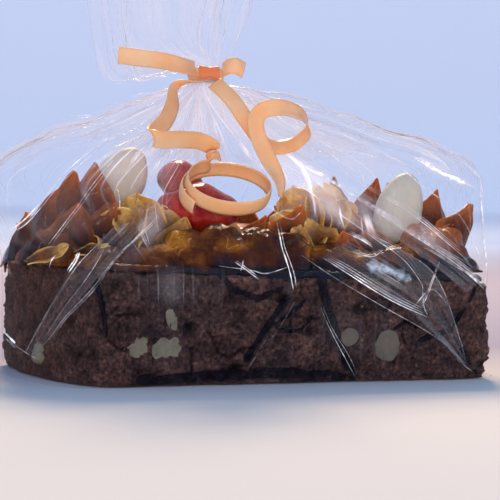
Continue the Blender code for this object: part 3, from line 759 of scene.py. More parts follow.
def addPetal(shape, base, tip, width, out, cup=0.5, bow=0.14, ruffle=1.2, seed=0, point=1.12, crease=2.6):
    base, tip, out = Vector(base) * mm, Vector(tip) * mm, Vector(out).normalized()
    run = tip - base
    side = run.cross(out).normalized()
    out = side.cross(run).normalized()

    def place(u, v):
        t = 2 * u - 1
        rough = 1 + 0.3 * noise.noise(Vector((4.5 * v + seed, seed, math.copysign(2, t))))
        half = width / 2 * mm * (0.7 + 1.5 * v * (1 - v)) * (1 - v**point) ** min(0.9, 2.4 / point) * rough
        if point < 2:  # a horn: wide at its foot and drawn out to a tip
            half = width / 2 * mm * (1.1 * (1 - v) ** point * (1 + 0.7 * v) + 0.02) * (0.3 + 0.7 * rough)
        wave = ruffle * mm * noise.noise(Vector((2.8 * v + seed * 3, 1.4 * t, seed))) * (0.5 + 1.6 * t * t)
        wave += crease * mm * abs(noise.noise(Vector((1.5 * v + seed, 3.6 * t + 9, seed + 4)))) * (0.3 + v)
        reach = 1 + 0.25 * v * noise.noise(Vector((2.2 * t, seed, 7))) * (point > 3)
        lift = bow * run.length * math.sin(math.pi * v * 0.9) - cup * half * t * t * 1.3
        sway = 0.05 * run.length * math.sin(math.pi * v + seed)
        return base + run * v * reach + side * (half * t + sway * v) + out * (lift + wave)

    return addSheet(shape, 12, 16, place)


def addMound(shape, centre, sizes, lump):
    made = bmesh.ops.create_uvsphere(shape, u_segments=72, v_segments=36, radius=1, calc_uvs=True)
    for vert in made["verts"]:
        away = vert.co.copy()
        vert.co = onBall(centre, sizes, away)
        vert.co += away * lump * mm * (noise.noise(vert.co * 110) + 0.5 * abs(noise.noise(vert.co * 240)))
        vert.co.z = max(vert.co.z, centre[2] * mm)


# base, tip, width, the way the outer face looks, and whether it is gold
leftPetals = (
    ((-49, -9, 33), (-42.1, -6, 61.0), 28, (-0.5, -1, 0.2), 0),
    ((-55, -10, 33), (-46.5, -5, 58), 26, (-0.6, -1, 0.2), 0),
    ((-60, -9, 33), (-51, -4, 53.8), 25, (-0.8, -1, 0.2), 0),
    ((-64, -6, 33), (-57, -1, 47.5), 21, (-0.9, -1, 0.2), 0),
    ((-66, -3, 33), (-62.0, 1, 42.0), 16, (-1, -0.7, 0.2), 0),
    ((-53, -16, 33), (-47, -12, 49), 22, (-0.3, -1, 0.4), 0),
    ((-60, -13, 33), (-54, -9, 44), 20, (-0.6, -1, 0.4), 0),
    ((-44, -16, 33), (-38.5, -11, 50), 20, (0.1, -1, 0.3), 0),
    ((-61, 8, 33), (-59.2, 9, 47), 20, (-1, -0.1, 0.1), 0),
    ((-46, 14, 34), (-49, 20, 54), 24, (-0.7, 1, 0.2), 0),
    ((-36, 18, 34), (-36, 23, 54), 24, (0, 1, 0.2), 0),
    ((-26, 13, 34), (-22, 18, 51), 22, (1, 0.7, 0.2), 0),
    ((-24, 3, 34), (-20, 1.5, 48), 20, (1, -0.3, 0.3), 1),
    ((-28, -15, 34), (-26, -12, 47), 22, (0.2, -1, 0.4), 1),
    ((-22, -21, 33.5), (-20, -17, 46), 20, (0.1, -1, 0.4), 1),
    ((-8, -23, 33.5), (-5, -19, 44), 20, (0.1, -1, 0.5), 1),
)
middlePetals = (
    ((10, -14, 33), (15.5, -15, 50.5), 19, (0.4, -1, 0.2), 0),
    ((0, -15, 34), (5.5, -16, 47), 15, (0.2, -1, 0.3), 0),
    ((9, -1, 34), (12.5, 1, 50), 19, (1, 0, 0.3), 0),
    ((5, 7, 34), (8, 10, 50), 20, (0.8, 1, 0.3), 0),
    ((-5, 10, 34), (-5, 13.5, 52), 20, (0, 1, 0.3), 0),
    ((-15, 7, 34), (-19, 9.5, 48), 19, (-0.8, 0.8, 0.3), 0),
    ((-19, -4, 34), (-23.5, -6, 44), 15, (-1, -0.3, 0.5), 1),
    ((-20, -16, 34), (-24, -17, 43), 12, (-0.4, -1, 0.5), 1),
)
rightPetals = (
    ((65, -8, 32), (73.0, -5.5, 51.5), 24, (0.7, -0.8, 0.2), 0),
    ((59, -3, 32), (65.4, 0, 55.2), 26, (0.3, -1, 0.2), 0),
    ((59, -11, 31), (66, -8, 45), 24, (0.4, -1, 0.5), 0),
    ((39, -15, 31.5), (36.5, -15, 44), 20, (-0.3, -1, 0.4), 0),
    ((37, -8, 32), (35.5, -7, 49), 20, (-0.6, -1, 0.3), 0),
    ((36, 6, 32), (37.0, 11.5, 58.8), 18, (-0.4, -1, 0.1), 0),
    ((44, 8, 32), (47.8, 10, 59.0), 20, (0, -1, 0.1), 0),
    ((50, 12, 32), (53.0, 12, 57.8), 18, (0.2, -1, 0.1), 0),
    ((64, 7, 32), (67.5, 10.5, 52.5), 20, (1, 0.7, 0.1), 0),
    ((13, -21, 32.5), (17, -17, 43), 18, (0, -1, 0.5), 1),
    ((30, -20, 32), (28, -16, 42), 18, (0, -1, 0.5), 0),
)


def makeFlower(name, petals, mound, node):
    mounded = newShape()
    addMound(mounded, *mound)
    shapes = {0: mounded, 1: newShape()}
    for i, (base, tip, width, out, gold) in enumerate(petals):
        addPetal(shapes[gold], base, tip, width, out, seed=i * 1.7)
    finishPiece(name, shapes[0], "caramel", caramelPetal, [node], thick=0.7, rounds=1)
    if shapes[1].verts:
        finishPiece(name + "Gold", shapes[1], "caramel", goldPetal, [], thick=0.6, rounds=1)
    else:
        shapes[1].free()


makeFlower("petalsLeft", leftPetals, ((-46, 2, 33.5), (18, 19, 17), 5), "rosette_left")
makeFlower("petalsMiddle", middlePetals, ((-5, -5, 33), (19, 17, 11), 4), "rosette_middle")
makeFlower("petalsRight", rightPetals, ((60, -8, 31), (11.5, 17, 11), 6), "rosette_right")
print("petals ready")


# Almonds and cherries

def almondMaterial():
    finish = {"Roughness": 0.45, "Subsurface Weight": 0.3, "Subsurface Scale": 0.004}
    material, tree, shader, coords = startMaterial("blanchedAlmond", finish)
    coarse, fine = mottle(tree, coords, 120)
    colour = ramp(tree, coarse, [(0.0, (0.60, 0.54, 0.42)), (1.0, (0.70, 0.65, 0.53))])
    tree.links.new(colour, shader.inputs["Base Color"])
    addBump(tree, shader, fine, 0.15, 0.2)
    return material


def cherryMaterial():
    material, tree, shader, coords = startMaterial("cherryFlesh", {
        "Roughness": 0.14, "Specular IOR Level": 0.2, "Coat Weight": 0.25,
        "Subsurface Weight": 0.3, "Subsurface Radius": (1, 0.1, 0.05), "Subsurface Scale": 0.003,
    })
    coarse = mottle(tree, coords, 150)[0]
    colour = ramp(tree, coarse, [
        (0.0, (0.14, 0.003, 0.002)), (0.6, (0.34, 0.014, 0.006)), (1.0, (0.60, 0.06, 0.03)),
    ])
    tree.links.new(colour, shader.inputs["Base Color"])
    addBump(tree, shader, coarse, 0.5, 0.8)
    return material


almondLook = {"voxel": 0.8, "wave": 0.5, "waveScale": 110}
cherryLook = {"voxel": 0.8, "wave": 1.8, "waveScale": 130}


def makeSoftFood(slotName, ends, material, look):
    def uneven(vert):
        return vert.normal * look["wave"] * mm * noise.noise(vert.co * look["waveScale"])

    for end in ends:
        name = slotName + "_" + end
        shape = remeshed([name], look["voxel"])
        shape.normal_update()
        moveAll(shape, uneven)
        soften(shape, shape.verts, 0.5)
        finishPiece(slotName + end.capitalize(), shape, slotName, material, [name], rounds=1)


makeSoftFood("almond", ("left", "right"), almondMaterial(), almondLook)
makeSoftFood("cherry", ("front", "back"), cherryMaterial(), cherryLook)
print("almonds and cherries ready")


# Candied fruit

fruitFinish = {
    "Roughness": 0.22, "Specular IOR Level": 0.25, "Coat Weight": 0.1, "Coat Roughness": 0.06,
    "Subsurface Weight": 0.4, "Subsurface Radius": (1, 0.6, 0.15), "Subsurface Scale": 0.003,
}
# the same order for the fruit: painted shade at the foot, body, paler tip, and an edge that is partly painted
# light
fruitColours = (0.040, 0.016, 0.006), (0.28, 0.10, 0.026), (0.70, 0.36, 0.13), (1.0, 0.58, 0.15)
fruitMaterial = petalMaterial("candiedFruit", *fruitColours, fruitFinish, thinness=0.72)
# base, tip, width and the way the outer face looks
fruitSheets = {
    "candied_slice_left": (
        ((-37, -18, 34), (-38, -12, 48), 13, (-0.2, -1, 0.3)),
        ((-32, -15, 34), (-31, -10, 51), 14, (0.1, -1, 0.2)),
        ((-27, -18, 34), (-25.5, -12, 49), 12, (0.3, -1, 0.3)),
    ),
    "candied_slice_right": (
        ((13, -17, 35), (11.5, -13, 48), 12, (-0.3, -1, 0.2)),
        ((18, -14, 36), (16.5, -9, 54), 13, (-0.1, -1, 0.2)),
        ((24, -12, 36), (24.5, -8, 56), 14, (0.1, -1, 0.2)),
        ((29, -15, 35), (31, -10, 51), 13, (0.3, -1, 0.2)),
        ((19, -18, 35), (18, -15, 45), 15, (0.1, -1, 0.4)),
    ),
    "candied_peel": (
        ((-63, -15, 33.2), (-52, -18.5, 37.8), 4, (0, -1, 0.8)),
        ((-51, -21, 35.8), (-42, -22, 37.6), 3, (0, -1, 0.9)),
    ),
}


fruitLook = {"cup": 0, "bow": 0.04, "point": 11, "crease": 1.6}
fruitRuffle = {"candied_peel": 0.8}
plainRuffle = 4.6


def makeFruit():
    for node, sheets in fruitSheets.items():
        shape = newShape()
        ruffle = fruitRuffle.get(node, plainRuffle)
        for i, (base, tip, width, out) in enumerate(sheets):
            addPetal(shape, base, tip, width, out, ruffle=ruffle, seed=2.1 * i, **fruitLook)
        newName = node.replace("candied_", "candied")
        finishPiece(newName, shape, "candied_fruit", fruitMaterial, [node], thick=0.45, rounds=1)


makeFruit()
print("candied fruit ready")


# Ribbon

ribbonLook = {
    "width": 4.8, "hollow": 0.35, "thickness": 0.3,
    "bandMiddle": (-8, 5, 88.8), "bandRadius": 4.9, "bandWidth": 3.6, "bandHollow": 0.5,
}
# the tight knot is drawn in at one place along x; its threads run on a small grid
knotLook = {
    "voxel": 0.35, "height": 88.8, "drawnIn": 0.22, "drawnAt": -8.6, "drawnOver": 1.6, "grid": (6.4, 4.2),
}
# middle of the ribbon, and the way across it
tailRoute = (
    ((-12.8, -3.0, 89.6), (0, 0.5, 1)), ((-17.0, -8.0, 89.7), (0, 0.3, 1)), ((-23.9, -11.0, 90.6), (0, 0, 1)),
    ((-31.1, -13.0, 91.0), (0, 0, 1)), ((-37.9, -13.5, 91.5), (0, 0, 1)),
)
stubRoute = (
    ((-4.6, -3.0, 89.8), (0, 0.5, 1)), ((-3.4, -5.2, 90.6), (0, 0.3, 1)), ((-1.6, -6.2, 90.6), (0, 0, 1)),
    ((1.0, -5.0, 89.6), (0, 0, 1)),
)
leftCurlRoute = (
    ((-12.4, -5.4, 85.8), (0.2, 1, 0.1)), ((-16.8, -7.5, 85.2), (0.3, 1, 0.1)),
    ((-20.8, -10.0, 82.8), (0.7, 0.8, -0.2)), ((-22.2, -13.5, 78.2), (0.9, 0.5, -0.3)),
    ((-25.0, -17.5, 73.4), (0.8, 0.2, -0.6)),
    ((-29.7, -22.0, 69.2), (0.5, -0.2, -0.9)), ((-28.6, -25.0, 67.6), (0.1, -0.2, -1)),
    ((-22.3, -24.0, 67.8), (0, 0, -1)), ((-15.5, -20.5, 67.6), (0, 0.2, -1)),
    ((-11.0, -18.8, 65.2), (0.5, 0.5, -0.8)),
)
rightCurlRoute = (
    ((-7.6, -4.4, 85.6), (0.8, 0, 0.5)), ((-3.6, -8.5, 80.8), (0.85, 0, 0.5)),
    ((0.2, -13.5, 73.6), (0.8, 0, 0.5)), ((4.2, -14.5, 68.2), (0.5, 0.3, 0.8)),
    ((9.8, -12.0, 66.8), (0, 0.5, 0.85)), ((15.2, -12.4, 68.3), (0, 0.55, 0.83)),
    ((18.0, -15.8, 72.2), (0, 0.55, 0.83)), ((14.8, -19.8, 76.0), (0, 0.5, 0.86)),
    ((8.2, -21.8, 77.8), (-0.1, 0.3, 0.95)),
    ((2.4, -21.9, 76.9), (-0.6, 0, 0.8)), ((0.2, -22.0, 73.6), (-1, 0, 0.2)),
    ((1.0, -22.6, 68.6), (-1, 0, -0.1)), ((3.6, -24.2, 62.6), (-1, 0, -0.2)),
    ((5.9, -26.4, 57.2), (-0.9, -0.5, 0)), ((5.9, -27.6, 52.6), (-0.5, -0.9, 0)),
)
coilLook = {
    "centre": (-8.9, -25.0, 54.4), "radius": (11.4, 8.8), "lean": 40, "start": 110, "turns": 1.3,
    "widen": 0.14, "drop": 3.6,
}


def ribbonMaterial(name, deep, plain, pale):
    material, tree, shader, coords = startMaterial(name, {
        "Roughness": 0.38, "Coat Weight": 0.15,
        "Subsurface Weight": 0.3, "Subsurface Radius": (1, 0.5, 0.25), "Subsurface Scale": 0.002,
    })
    u = axes(tree, coords, "UV")[0]
    colour = ramp(tree, mottle(tree, coords, 60)[0], [(0.0, deep), (0.5, plain), (1.0, pale)])
    side = fromMiddle(tree, u)
    selvage = times(tree, calc(tree, "POWER", side, 8), 0.5)
    threads = calc(tree, "SINE", times(tree, u, 150))
    tree.links.new(blendColour(tree, selvage, colour, (0.93, 0.50, 0.28, 1)), shader.inputs["Base Color"])
    addBump(tree, shader, threads, 0.12, 0.05)
    return material


def addStrip(shape, points, widths, width, rows, hollow=0.35):
    points = [Vector(point) * mm for point in points]
    widths = [Vector(direction).normalized() for direction in widths]

    def place(u, v):
        run = (curveThrough(points, v + 0.004) - curveThrough(points, v - 0.004)).normalized()
        across = curveThrough(widths, v)
        across = (across - run * across.dot(run)).normalized()
        t = 2 * u - 1
        bulge = run.cross(across) * hollow * mm * (1 - t * t)
        return curveThrough(points, v) + across * t * width / 2 * mm + bulge

    return addSheet(shape, 6, rows, place)


def coilStations():
    look = coilLook
    lean = Matrix.Rotation(math.radians(look["lean"]), 3, "X")
    axis = lean @ Vector((0, 0, 1))
    stations = []
    for i in range(31):
        share = i / 30
        angle = math.radians(look["start"]) + share * look["turns"] * 2 * math.pi
        wide = 1 + look["widen"] * share
        radiusX, radiusY = look["radius"]
        flat = Vector((radiusX * math.cos(angle) * wide, radiusY * math.sin(angle) * wide, 0))
        stations.append((Vector(look["centre"]) + lean @ flat + axis * look["drop"] * (0.5 - share), axis))
    return tuple(stations)


def makeKnot(material):
    look = knotLook
    along, up = (size * mm for size in look["grid"])
    height = look["height"] * mm
    shape = remeshed(["ribbon_knot"], look["voxel"])
    uv = shape.loops.layers.uv.new("UVMap")
    for face in shape.faces:
        for loop in face.loops:
            loop[uv].uv = (loop.vert.co.z / up % 1, loop.vert.co.x / along % 1)
    for vert in shape.verts:
        away = (vert.co.x / mm - look["drawnAt"]) / look["drawnOver"]
        slim = 1 - look["drawnIn"] * math.exp(-away**2)
        vert.co.z = height + (vert.co.z - height) * slim
    soften(shape, shape.verts, 0.5)
    finishPiece("ribbonKnot", shape, "ribbon", material, ["ribbon_knot"], rounds=1)


def makeRibbon():
    material = ribbonMaterial("satinRibbon", (0.92, 0.40, 0.145), (0.96, 0.49, 0.23), (0.98, 0.59, 0.35))
    # painted shade: a darker, deeper copy of the satin for the knot
    shadedKnot = ribbonMaterial("shadedKnotRibbon", (0.82, 0.20, 0.06), (0.86, 0.25, 0.08), (0.88, 0.32, 0.13))
    look = ribbonLook
    strips = {
        "Tail": ("ribbon_tail", tailRoute, 40),
        "Stub": ("ribbon_stub", stubRoute, 20),
        "CurlLeft": ("ribbon_curl_left", leftCurlRoute + coilStations(), 320),
        "CurlRight": ("ribbon_curl_right", rightCurlRoute, 160),
    }
    for name, (node, route, rows) in strips.items():
        shape = newShape()
        addStrip(shape, *zip(*route), look["width"], rows, look["hollow"])
        finishPiece("ribbon" + name, shape, "ribbon", material, [node], thick=look["thickness"])
    band = newShape()
    x, y, z = look["bandMiddle"]
    radius = look["bandRadius"]
    turns = [2 * math.pi * i / 24 for i in range(25)]
    circle = [(x + radius * math.cos(turn), y + radius * math.sin(turn), z) for turn in turns]
    addStrip(band, circle, [(0, 0, 1)] * len(turns), look["bandWidth"], 96, look["bandHollow"])
    finishPiece("ribbonBand", band, "ribbon", material, ["ribbon_band"], thick=look["thickness"])
    makeKnot(shadedKnot)


makeRibbon()
print("ribbon ready")


# The clear film

filmLook = {
    "columns": 330, "rows": 200, "clearance": 0.35, "creases": 90, "seed": 11,
    "innerGrow": 0.90, "innerStart": 0.74, "slantFrom": -28, "slantDepth": 17,
}
# left, right, front, back, heights at left, right, front, back, boxiness, place along the sheet
filmRings = (
    (4, 4, 0, 0, 0, 0, 0, 0, 7, 0.0),
    (-65, 69.5, -30.5, 30.5, 0, 0, 0, 0, 7, 0.08),
    (-66.8, 71.4, -32.7, 32.7, 1.8, 1.8, 1.8, 1.8, 7, 0.105),
    (-67.2, 71.8, -33.0, 33.0, 12, 12, 12, 12, 7, 0.18),
    (-67.0, 72.2, -33.2, 33.6, 24, 22, 23, 23, 7, 0.26),
    (-67.8, 72.6, -33.6, 34.2, 35, 31.5, 33.5, 33.5, 7, 0.33),
    (-71.5, 73, -30.5, 31.5, 41, 41, 39, 40, 6, 0.42),
    (-73.3, 73, -26.5, 27.5, 52, 52, 45, 46, 5.5, 0.51),
    (-72, 74, -19.2, 26.5, 59, 62.5, 52, 52, 4.5, 0.60),
    (-58, 62, -12.6, 21, 68.5, 68.5, 60.8, 61, 3.4, 0.70),
    (-38, 34, -5.5, 15, 76, 77, 70, 71, 2.6, 0.80),
    (-21, 8, -1.5, 11.5, 83, 84, 79.5, 80, 2.2, 0.88),
    (-13, -3, 0.3, 9.7, 85.8, 85.8, 85.4, 85.4, 2, 0.93),
    (-12.2, -3.8, 0.8, 9.2, 87.5, 87.5, 87.5, 87.5, 2, 0.95),
    (-12.2, -3.8, 0.8, 9.2, 91, 91, 91, 91, 2, 0.98),
    (-8, -8, 5, 5, 91, 91, 91, 91, 2, 1.0),
)
frillRings = (
    (-12.3, -3.7, 0.7, 9.3, 89.5, 89.5, 89.5, 89.5, 2, 0.0),
    (-14, -3, 0.2, 9.8, 91, 92, 92, 92, 2, 0.08),
    (-26, -1, -1.5, 11, 87.5, 95, 95, 95, 2.2, 0.25),
    (-37, 1.5, -3.5, 13.5, 86.5, 100, 101, 101, 2.4, 0.42),
    (-41, 3.5, -5, 14.5, 99, 108, 109, 109, 2.4, 0.6),
    (-43, 6, -6, 15.5, 112, 116, 117, 117, 2.4, 0.8),
    (-45, 9, -7, 16.5, 122, 123, 121, 121, 2.4, 1.0),
)


def ringAt(rings, v):
    for i in range(len(rings) - 1):
        if v <= rings[i + 1][-1] or i == len(rings) - 2:
            break
    share = (v - rings[i][-1]) / (rings[i + 1][-1] - rings[i][-1])
    before, start = rings[max(i - 1, 0)], rings[i]
    end, after = rings[i + 1], rings[min(i + 2, len(rings) - 1)]
    row = []
    for a, b, c, d in zip(before, start, end, after):
        bend = (2 * a - 5 * b + 4 * c - d) * share**2 + (3 * b - a - 3 * c + d) * share**3
        row.append(0.5 * (2 * b + (c - a) * share + bend))
    return row


def filmPoint(rings, turn, v, grow=1):
    left, right, front, back, zLeft, zRight, zFront, zBack, boxy = ringAt(rings, v)[:9]
    along, across = math.cos(turn), math.sin(turn)
    reach = (abs(along) ** boxy + abs(across) ** boxy) ** (-1 / boxy)
    along, across = along * reach, across * reach
    end = zRight if along > 0 else zLeft
    side = zBack if across > 0 else zFront
    x = (left + right) / 2 + (right - left) / 2 * along * grow
    y = (front + back) / 2 + (back - front) / 2 * across * grow
    z = side + (end - side) * abs(along) ** 2.5
    slantFrom, depth = filmLook["slantFrom"], filmLook["slantDepth"]
    if x < slantFrom and rings is filmRings:  # the bar's left end slants
        cut = max(depth * smoothStep(66, 30, z) * smoothStep(-0.3, 1.5, z), depth * (z < 1.5))
        forward = max(0, (back - y) / (back - front)) ** 2.3
        x += cut * forward * (slantFrom - x) / (slantFrom - left)
    return Vector((x, y, z)) * mm


def frontHeavy(u):
    # more columns on the front, which is from 225 to 315 degrees
    marks = ((0, 315), (0.14, 405), (0.38, 495), (0.52, 585), (1, 675))
    for (u0, a0), (u1, a1) in zip(marks, marks[1:]):
        if u <= u1:
            return math.radians(a0 + (a1 - a0) * (u - u0) / (u1 - u0))
    return math.radians(675)


def creaseGlintMask(tree, coords, across, along, thin, shift):
    # thin lines that run from the tie outwards, shown as painted highlights
    u, v = axes(tree, coords, "UV")[:2]
    stretched = {0: times(tree, u, across), 1: times(tree, v, along), 2: shift}
    place = addNode(tree, "ShaderNodeCombineXYZ", stretched)
    pattern = noisePattern(tree, place.outputs[0], 1, 1, Roughness=0.5)
    line = veins(tree, pattern, thin)
    gate = noisePattern(tree, coords.outputs["Object"], 45 + shift, 2)
    return times(tree, line, fit(tree, gate, 0.42, 0.62)), pattern


def filmMaterial():
    material, tree, shader, coords = startMaterial("clearFilm", {
        "Base Color": (0.87, 0.85, 0.91, 1), "Metallic": 0.35, "Roughness": 0.1, "Specular IOR Level": 0.8,
        "Emission Strength": 2.2,
    })
    place = coords.outputs["Object"]
    haze = marked(tree, "haze")
    wide, streak = creaseGlintMask(tree, coords, 24, 0.6, 0.016, 3)
    narrow, fineStreak = creaseGlintMask(tree, coords, 56, 1.0, 0.018, 8)
    crease = calc(tree, "ADD", wide, times(tree, narrow, 0.6))
    crease = times(tree, crease, calc(tree, "MULTIPLY_ADD", haze, 2.0, 0.04))
    side = fromMiddle(tree, axes(tree, coords, "UV")[0])
    foldAndGlint = times(tree, marked(tree, "foldAndGlint"), fit(tree, side, 0.95, 0.15))  # fades across each fold
    foldAndGlint = times(tree, foldAndGlint, fit(tree, noisePattern(tree, place, 900, 2), 0.35, 0.6, 0.55, 1))
    foldAndGlint = times(tree, foldAndGlint, fit(tree, noisePattern(tree, place, 130, 2), 0.4, 0.6, 0.6, 1.2))
    bright = calc(tree, "ADD", crease, foldAndGlint)
    veil = times(tree, haze, fit(tree, streak, 0.45, 0.7, 0.3, 1.5))
    facing = addNode(tree, "ShaderNodeLayerWeight", {"Blend": 0.5}).outputs["Facing"]
    edge = times(tree, calc(tree, "POWER", facing, 6), 0.28)
    cover = calc(tree, "MINIMUM", calc(tree, "ADD", calc(tree, "ADD", veil, edge), bright), 0.95)
    # painted light: the milky veils glow
    milkGlow = ramp(tree, marked(tree, "milkAndGlow"), [
        (0.02, (0, 0, 0)), (0.15, (0.4, 0.34, 0.37)), (0.5, (0.95, 0.78, 0.80)),
    ])
    # painted highlights: the creases and the folds glow
    glow = ramp(tree, bright, [(0.12, (0, 0, 0)), (0.45, (0.36, 0.38, 0.42)), (0.85, (0.95, 0.98, 1.0))])
    glow = tinted(tree, glow, milkGlow, "ADD")
    # painted reflection: a bluish glow on the gleam and the flaps
    glow = blendColour(tree, marked(tree, "blueGleam"), glow, (0.12, 0.46, 0.78, 1))
    tree.links.new(glow, shader.inputs["Emission Color"])
    clear = addNode(tree, "ShaderNodeBsdfTransparent")
    milky = addNode(tree, "ShaderNodeBsdfTranslucent", {0: (0.88, 0.84, 0.87, 1)})
    lit = addNode(tree, "ShaderNodeMixShader", {0: 0.62, 1: shader.outputs[0], 2: milky.outputs[0]})
    whole = addNode(tree, "ShaderNodeMixShader", {0: cover, 1: clear.outputs[0], 2: lit.outputs[0]})
    tree.links.new(whole.outputs[0], tree.nodes["Material Output"].inputs["Surface"])
    crumple = noisePattern(tree, place, 260, 5, Roughness=0.6)
    addBump(tree, shader, calc(tree, "MULTIPLY_ADD", fineStreak, times(tree, haze, 3), crumple), 0.5, 0.5)
    return material


filmSurface = filmMaterial()


def contentsTree(names):
    depsgraph = bpy.context.evaluated_depsgraph_get()
    corners, faces = [], []
    for name in names:
        thing = bpy.data.objects[name].evaluated_get(depsgraph)
        mesh = thing.to_mesh()
        start = len(corners)
        corners.extend(vert.co.copy() for vert in mesh.vertices)
        faces.extend([start + i for i in face.vertices] for face in mesh.polygons)
        thing.to_mesh_clear()
    return BVHTree.FromPolygons(corners, faces)


def crumple(vert):
    place = vert.co
    high = smoothStep(34, 62, place.z / mm)
    turn = math.atan2(place.y / mm - 4, (place.x / mm + 4) * 0.45)
    pleat = 1 - 2.4 * abs(noise.noise(Vector((math.cos(turn) * 3.2, math.sin(turn) * 3.2, place.z * 9))))
    finePleat = 1 - 2.4 * abs(noise.noise(Vector((math.cos(turn) * 9, math.sin(turn) * 9, place.z * 14 + 3))))
    facet = abs(noise.noise(place * 55 + Vector((4, 2, 8)))) * 2.2 - 0.4
    wrinkle = abs(noise.noise(place * 150)) * 2 - 0.3
    out = high * (1.5 * pleat + 0.8 * finePleat) + (0.25 + 0.75 * high) * facet * 1.2 + 0.3 * wrinkle
    if place.z < 0.3 * mm:
        out = 0
    elif place.z < 34 * mm:
        out = max(0, out * 0.5)
    return vert.normal * out * smoothStep(88, 80, place.z / mm) * mm


def pushOutside(shape, contents, clearance):
    shape.normal_update()
    reach = 12 * mm
    for vert in shape.verts:
        if vert.co.z < 0.4 * mm or vert.normal.length < 0.5:
            continue
        normal = vert.normal
        hit = contents.ray_cast(vert.co + normal * reach, -normal, reach + clearance * mm)
        if hit[0] is not None:
            vert.co = hit[0] + normal * clearance * mm
